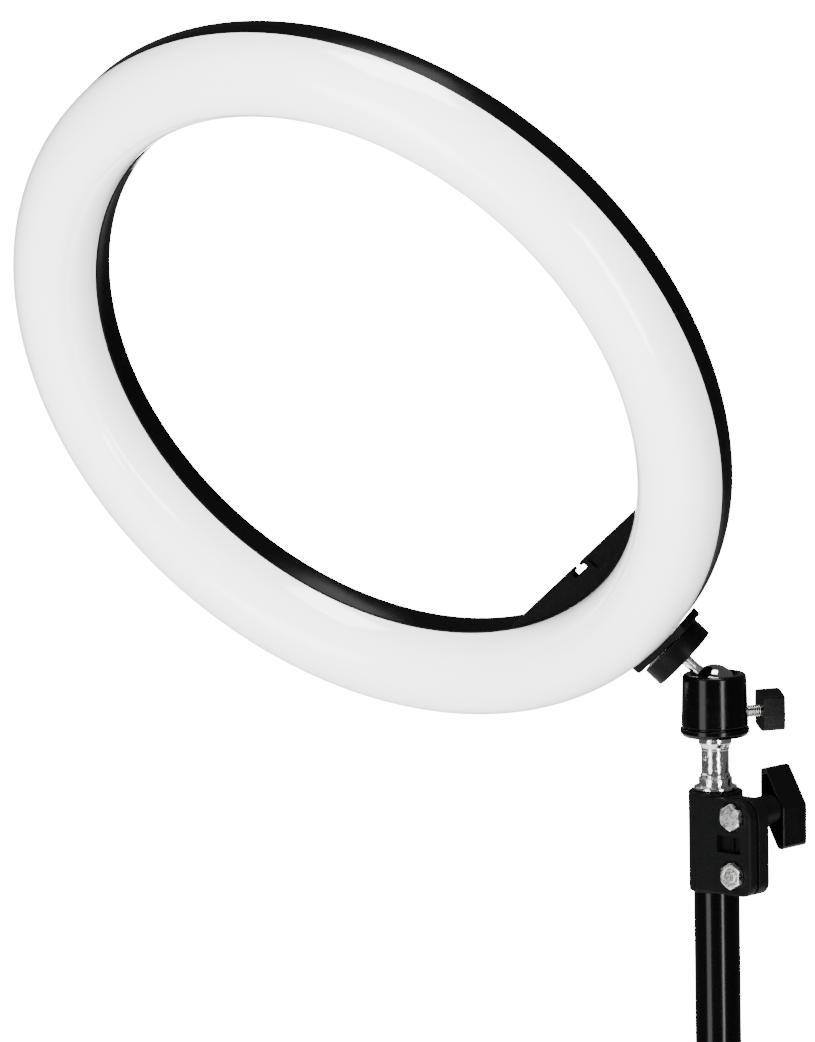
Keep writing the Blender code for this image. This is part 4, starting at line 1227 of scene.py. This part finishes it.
def make_camera():
    """A long lens slightly above the head of the light, as the object is seen in a product picture."""
    elevation = VIEW_ELEVATION
    forward = Vector((0, math.cos(elevation), -math.sin(elevation)))
    level_right = Vector((1, 0, 0))
    level_up = Vector((0, math.sin(elevation), math.cos(elevation)))
    right = level_right * math.cos(CAMERA_ROLL) - level_up * math.sin(CAMERA_ROLL)
    up = level_up * math.cos(CAMERA_ROLL) + level_right * math.sin(CAMERA_ROLL)
    data = bpy.data.cameras.new("camera")
    data.sensor_width = 36.0
    data.lens = CAMERA_LENS
    data.clip_start = 0.1
    data.clip_end = 100.0
    camera = bpy.data.objects.new("camera", data)
    matrix = Matrix((right, up, -forward)).transposed().to_4x4()
    matrix.translation = BALL - right * CAMERA_LEFT + up * CAMERA_UP - forward * CAMERA_BACK
    camera.matrix_world = matrix
    bpy.context.scene.collection.objects.link(camera)
    bpy.context.scene.camera = camera


def make_area_light(name, azimuth, elevation, distance, size, power, glossy=True):
    """A softbox aimed at the head, in degrees right of the camera and up; glossy puts it in reflections."""
    data = bpy.data.lights.new(name, "AREA")
    data.shape = "RECTANGLE"
    data.size, data.size_y = size
    data.energy = power
    light = bpy.data.objects.new(name, data)
    angle = math.radians(azimuth)
    tilt = math.radians(elevation)
    direction = Vector((math.sin(angle) * math.cos(tilt), -math.cos(angle) * math.cos(tilt), math.sin(tilt)))
    light.location = Vector((0, 0, BALL.z)) + direction * distance
    light.rotation_euler = (-direction).to_track_quat("-Z", "Y").to_euler()
    light.visible_camera = False
    light.visible_glossy = glossy
    bpy.context.scene.collection.objects.link(light)


def make_surround():
    """A dim even surround with one bright patch straight behind the head, which gives a white background."""
    world = bpy.data.worlds.new("surround")
    bpy.context.scene.world = world
    world.use_nodes = True
    nodes = world.node_tree.nodes
    link = world.node_tree.links.new
    place = nodes.new("ShaderNodeTexCoord")
    towards = nodes.new("ShaderNodeVectorMath")
    towards.operation = "DOT_PRODUCT"
    towards.inputs[1].default_value = (0.0, math.cos(VIEW_ELEVATION), -math.sin(VIEW_ELEVATION))
    link(place.outputs["Generated"], towards.inputs[0])
    patch = nodes.new("ShaderNodeMapRange")
    patch.interpolation_type = "SMOOTHSTEP"
    fill(patch, {"From Min": math.cos(BACKDROP_EDGE), "From Max": math.cos(BACKDROP_CORE)})
    fill(patch, {"To Min": SURROUND_STRENGTH, "To Max": BACKDROP_STRENGTH})
    link(towards.outputs["Value"], patch.inputs["Value"])
    background = nodes["Background"]
    fill(background, {"Color": (1.0, 1.0, 1.0, 1)})
    link(patch.outputs["Result"], background.inputs["Strength"])


def make_stage():
    """A pale round floor, the surround and soft lights."""
    body = bmesh.new()
    bmesh.ops.create_circle(body, cap_ends=True, radius=FLOOR_RADIUS, segments=128)
    floor = new_piece("floor", body, shift(z=-FLOOR_DROP))
    material = bpy.data.materials.new("floor_pale")
    material.use_nodes = True
    shader = material.node_tree.nodes["Principled BSDF"]
    fill(shader, {"Base Color": (0.72, 0.72, 0.72, 1), "Roughness": 0.9, "Specular IOR Level": 0.1})
    floor.data.materials.append(material)
    make_surround()
    make_area_light("fill_front", -32, -14, 2.8, (2.0, 2.0), 400, glossy=False)
    make_area_light("fill_right", 40, 10, 2.8, (2.0, 2.0), 90, glossy=False)
    make_area_light("fill_top", -20, 65, 2.8, (1.6, 1.6), 140, glossy=False)
    make_area_light("overhead", 0, 90, 3.4, (1.6, 1.6), 130)
    make_area_light("strip_right", 27, -2, 2.6, (0.42, 2.0), 50)
    make_area_light("strip_left", -45, -2, 2.6, (1.0, 2.0), 40)


def main():
    """Builds every piece, the camera and the stage."""
    make_camera()
    make_casing()
    make_diffuser()
    make_accessory_plate()
    make_foot()
    make_housing_screws()
    make_gland()
    make_ball_head()
    make_clamp("collar_1", 11.3 * MM, 8.3 * MM, 9.8 * MM)
    make_clamp("collar_2", 12.8 * MM, 9.8 * MM, 11.3 * MM)
    make_spigot()
    for node in ("top_tube", "mid_tube", "base_tube"):
        make_tube(node)
    make_base_plug()
    make_hub()
    make_leg_collar()
    for number in (1, 2, 3):
        make_leg(number)
    dress_cad_nodes()
    make_stage()


main()
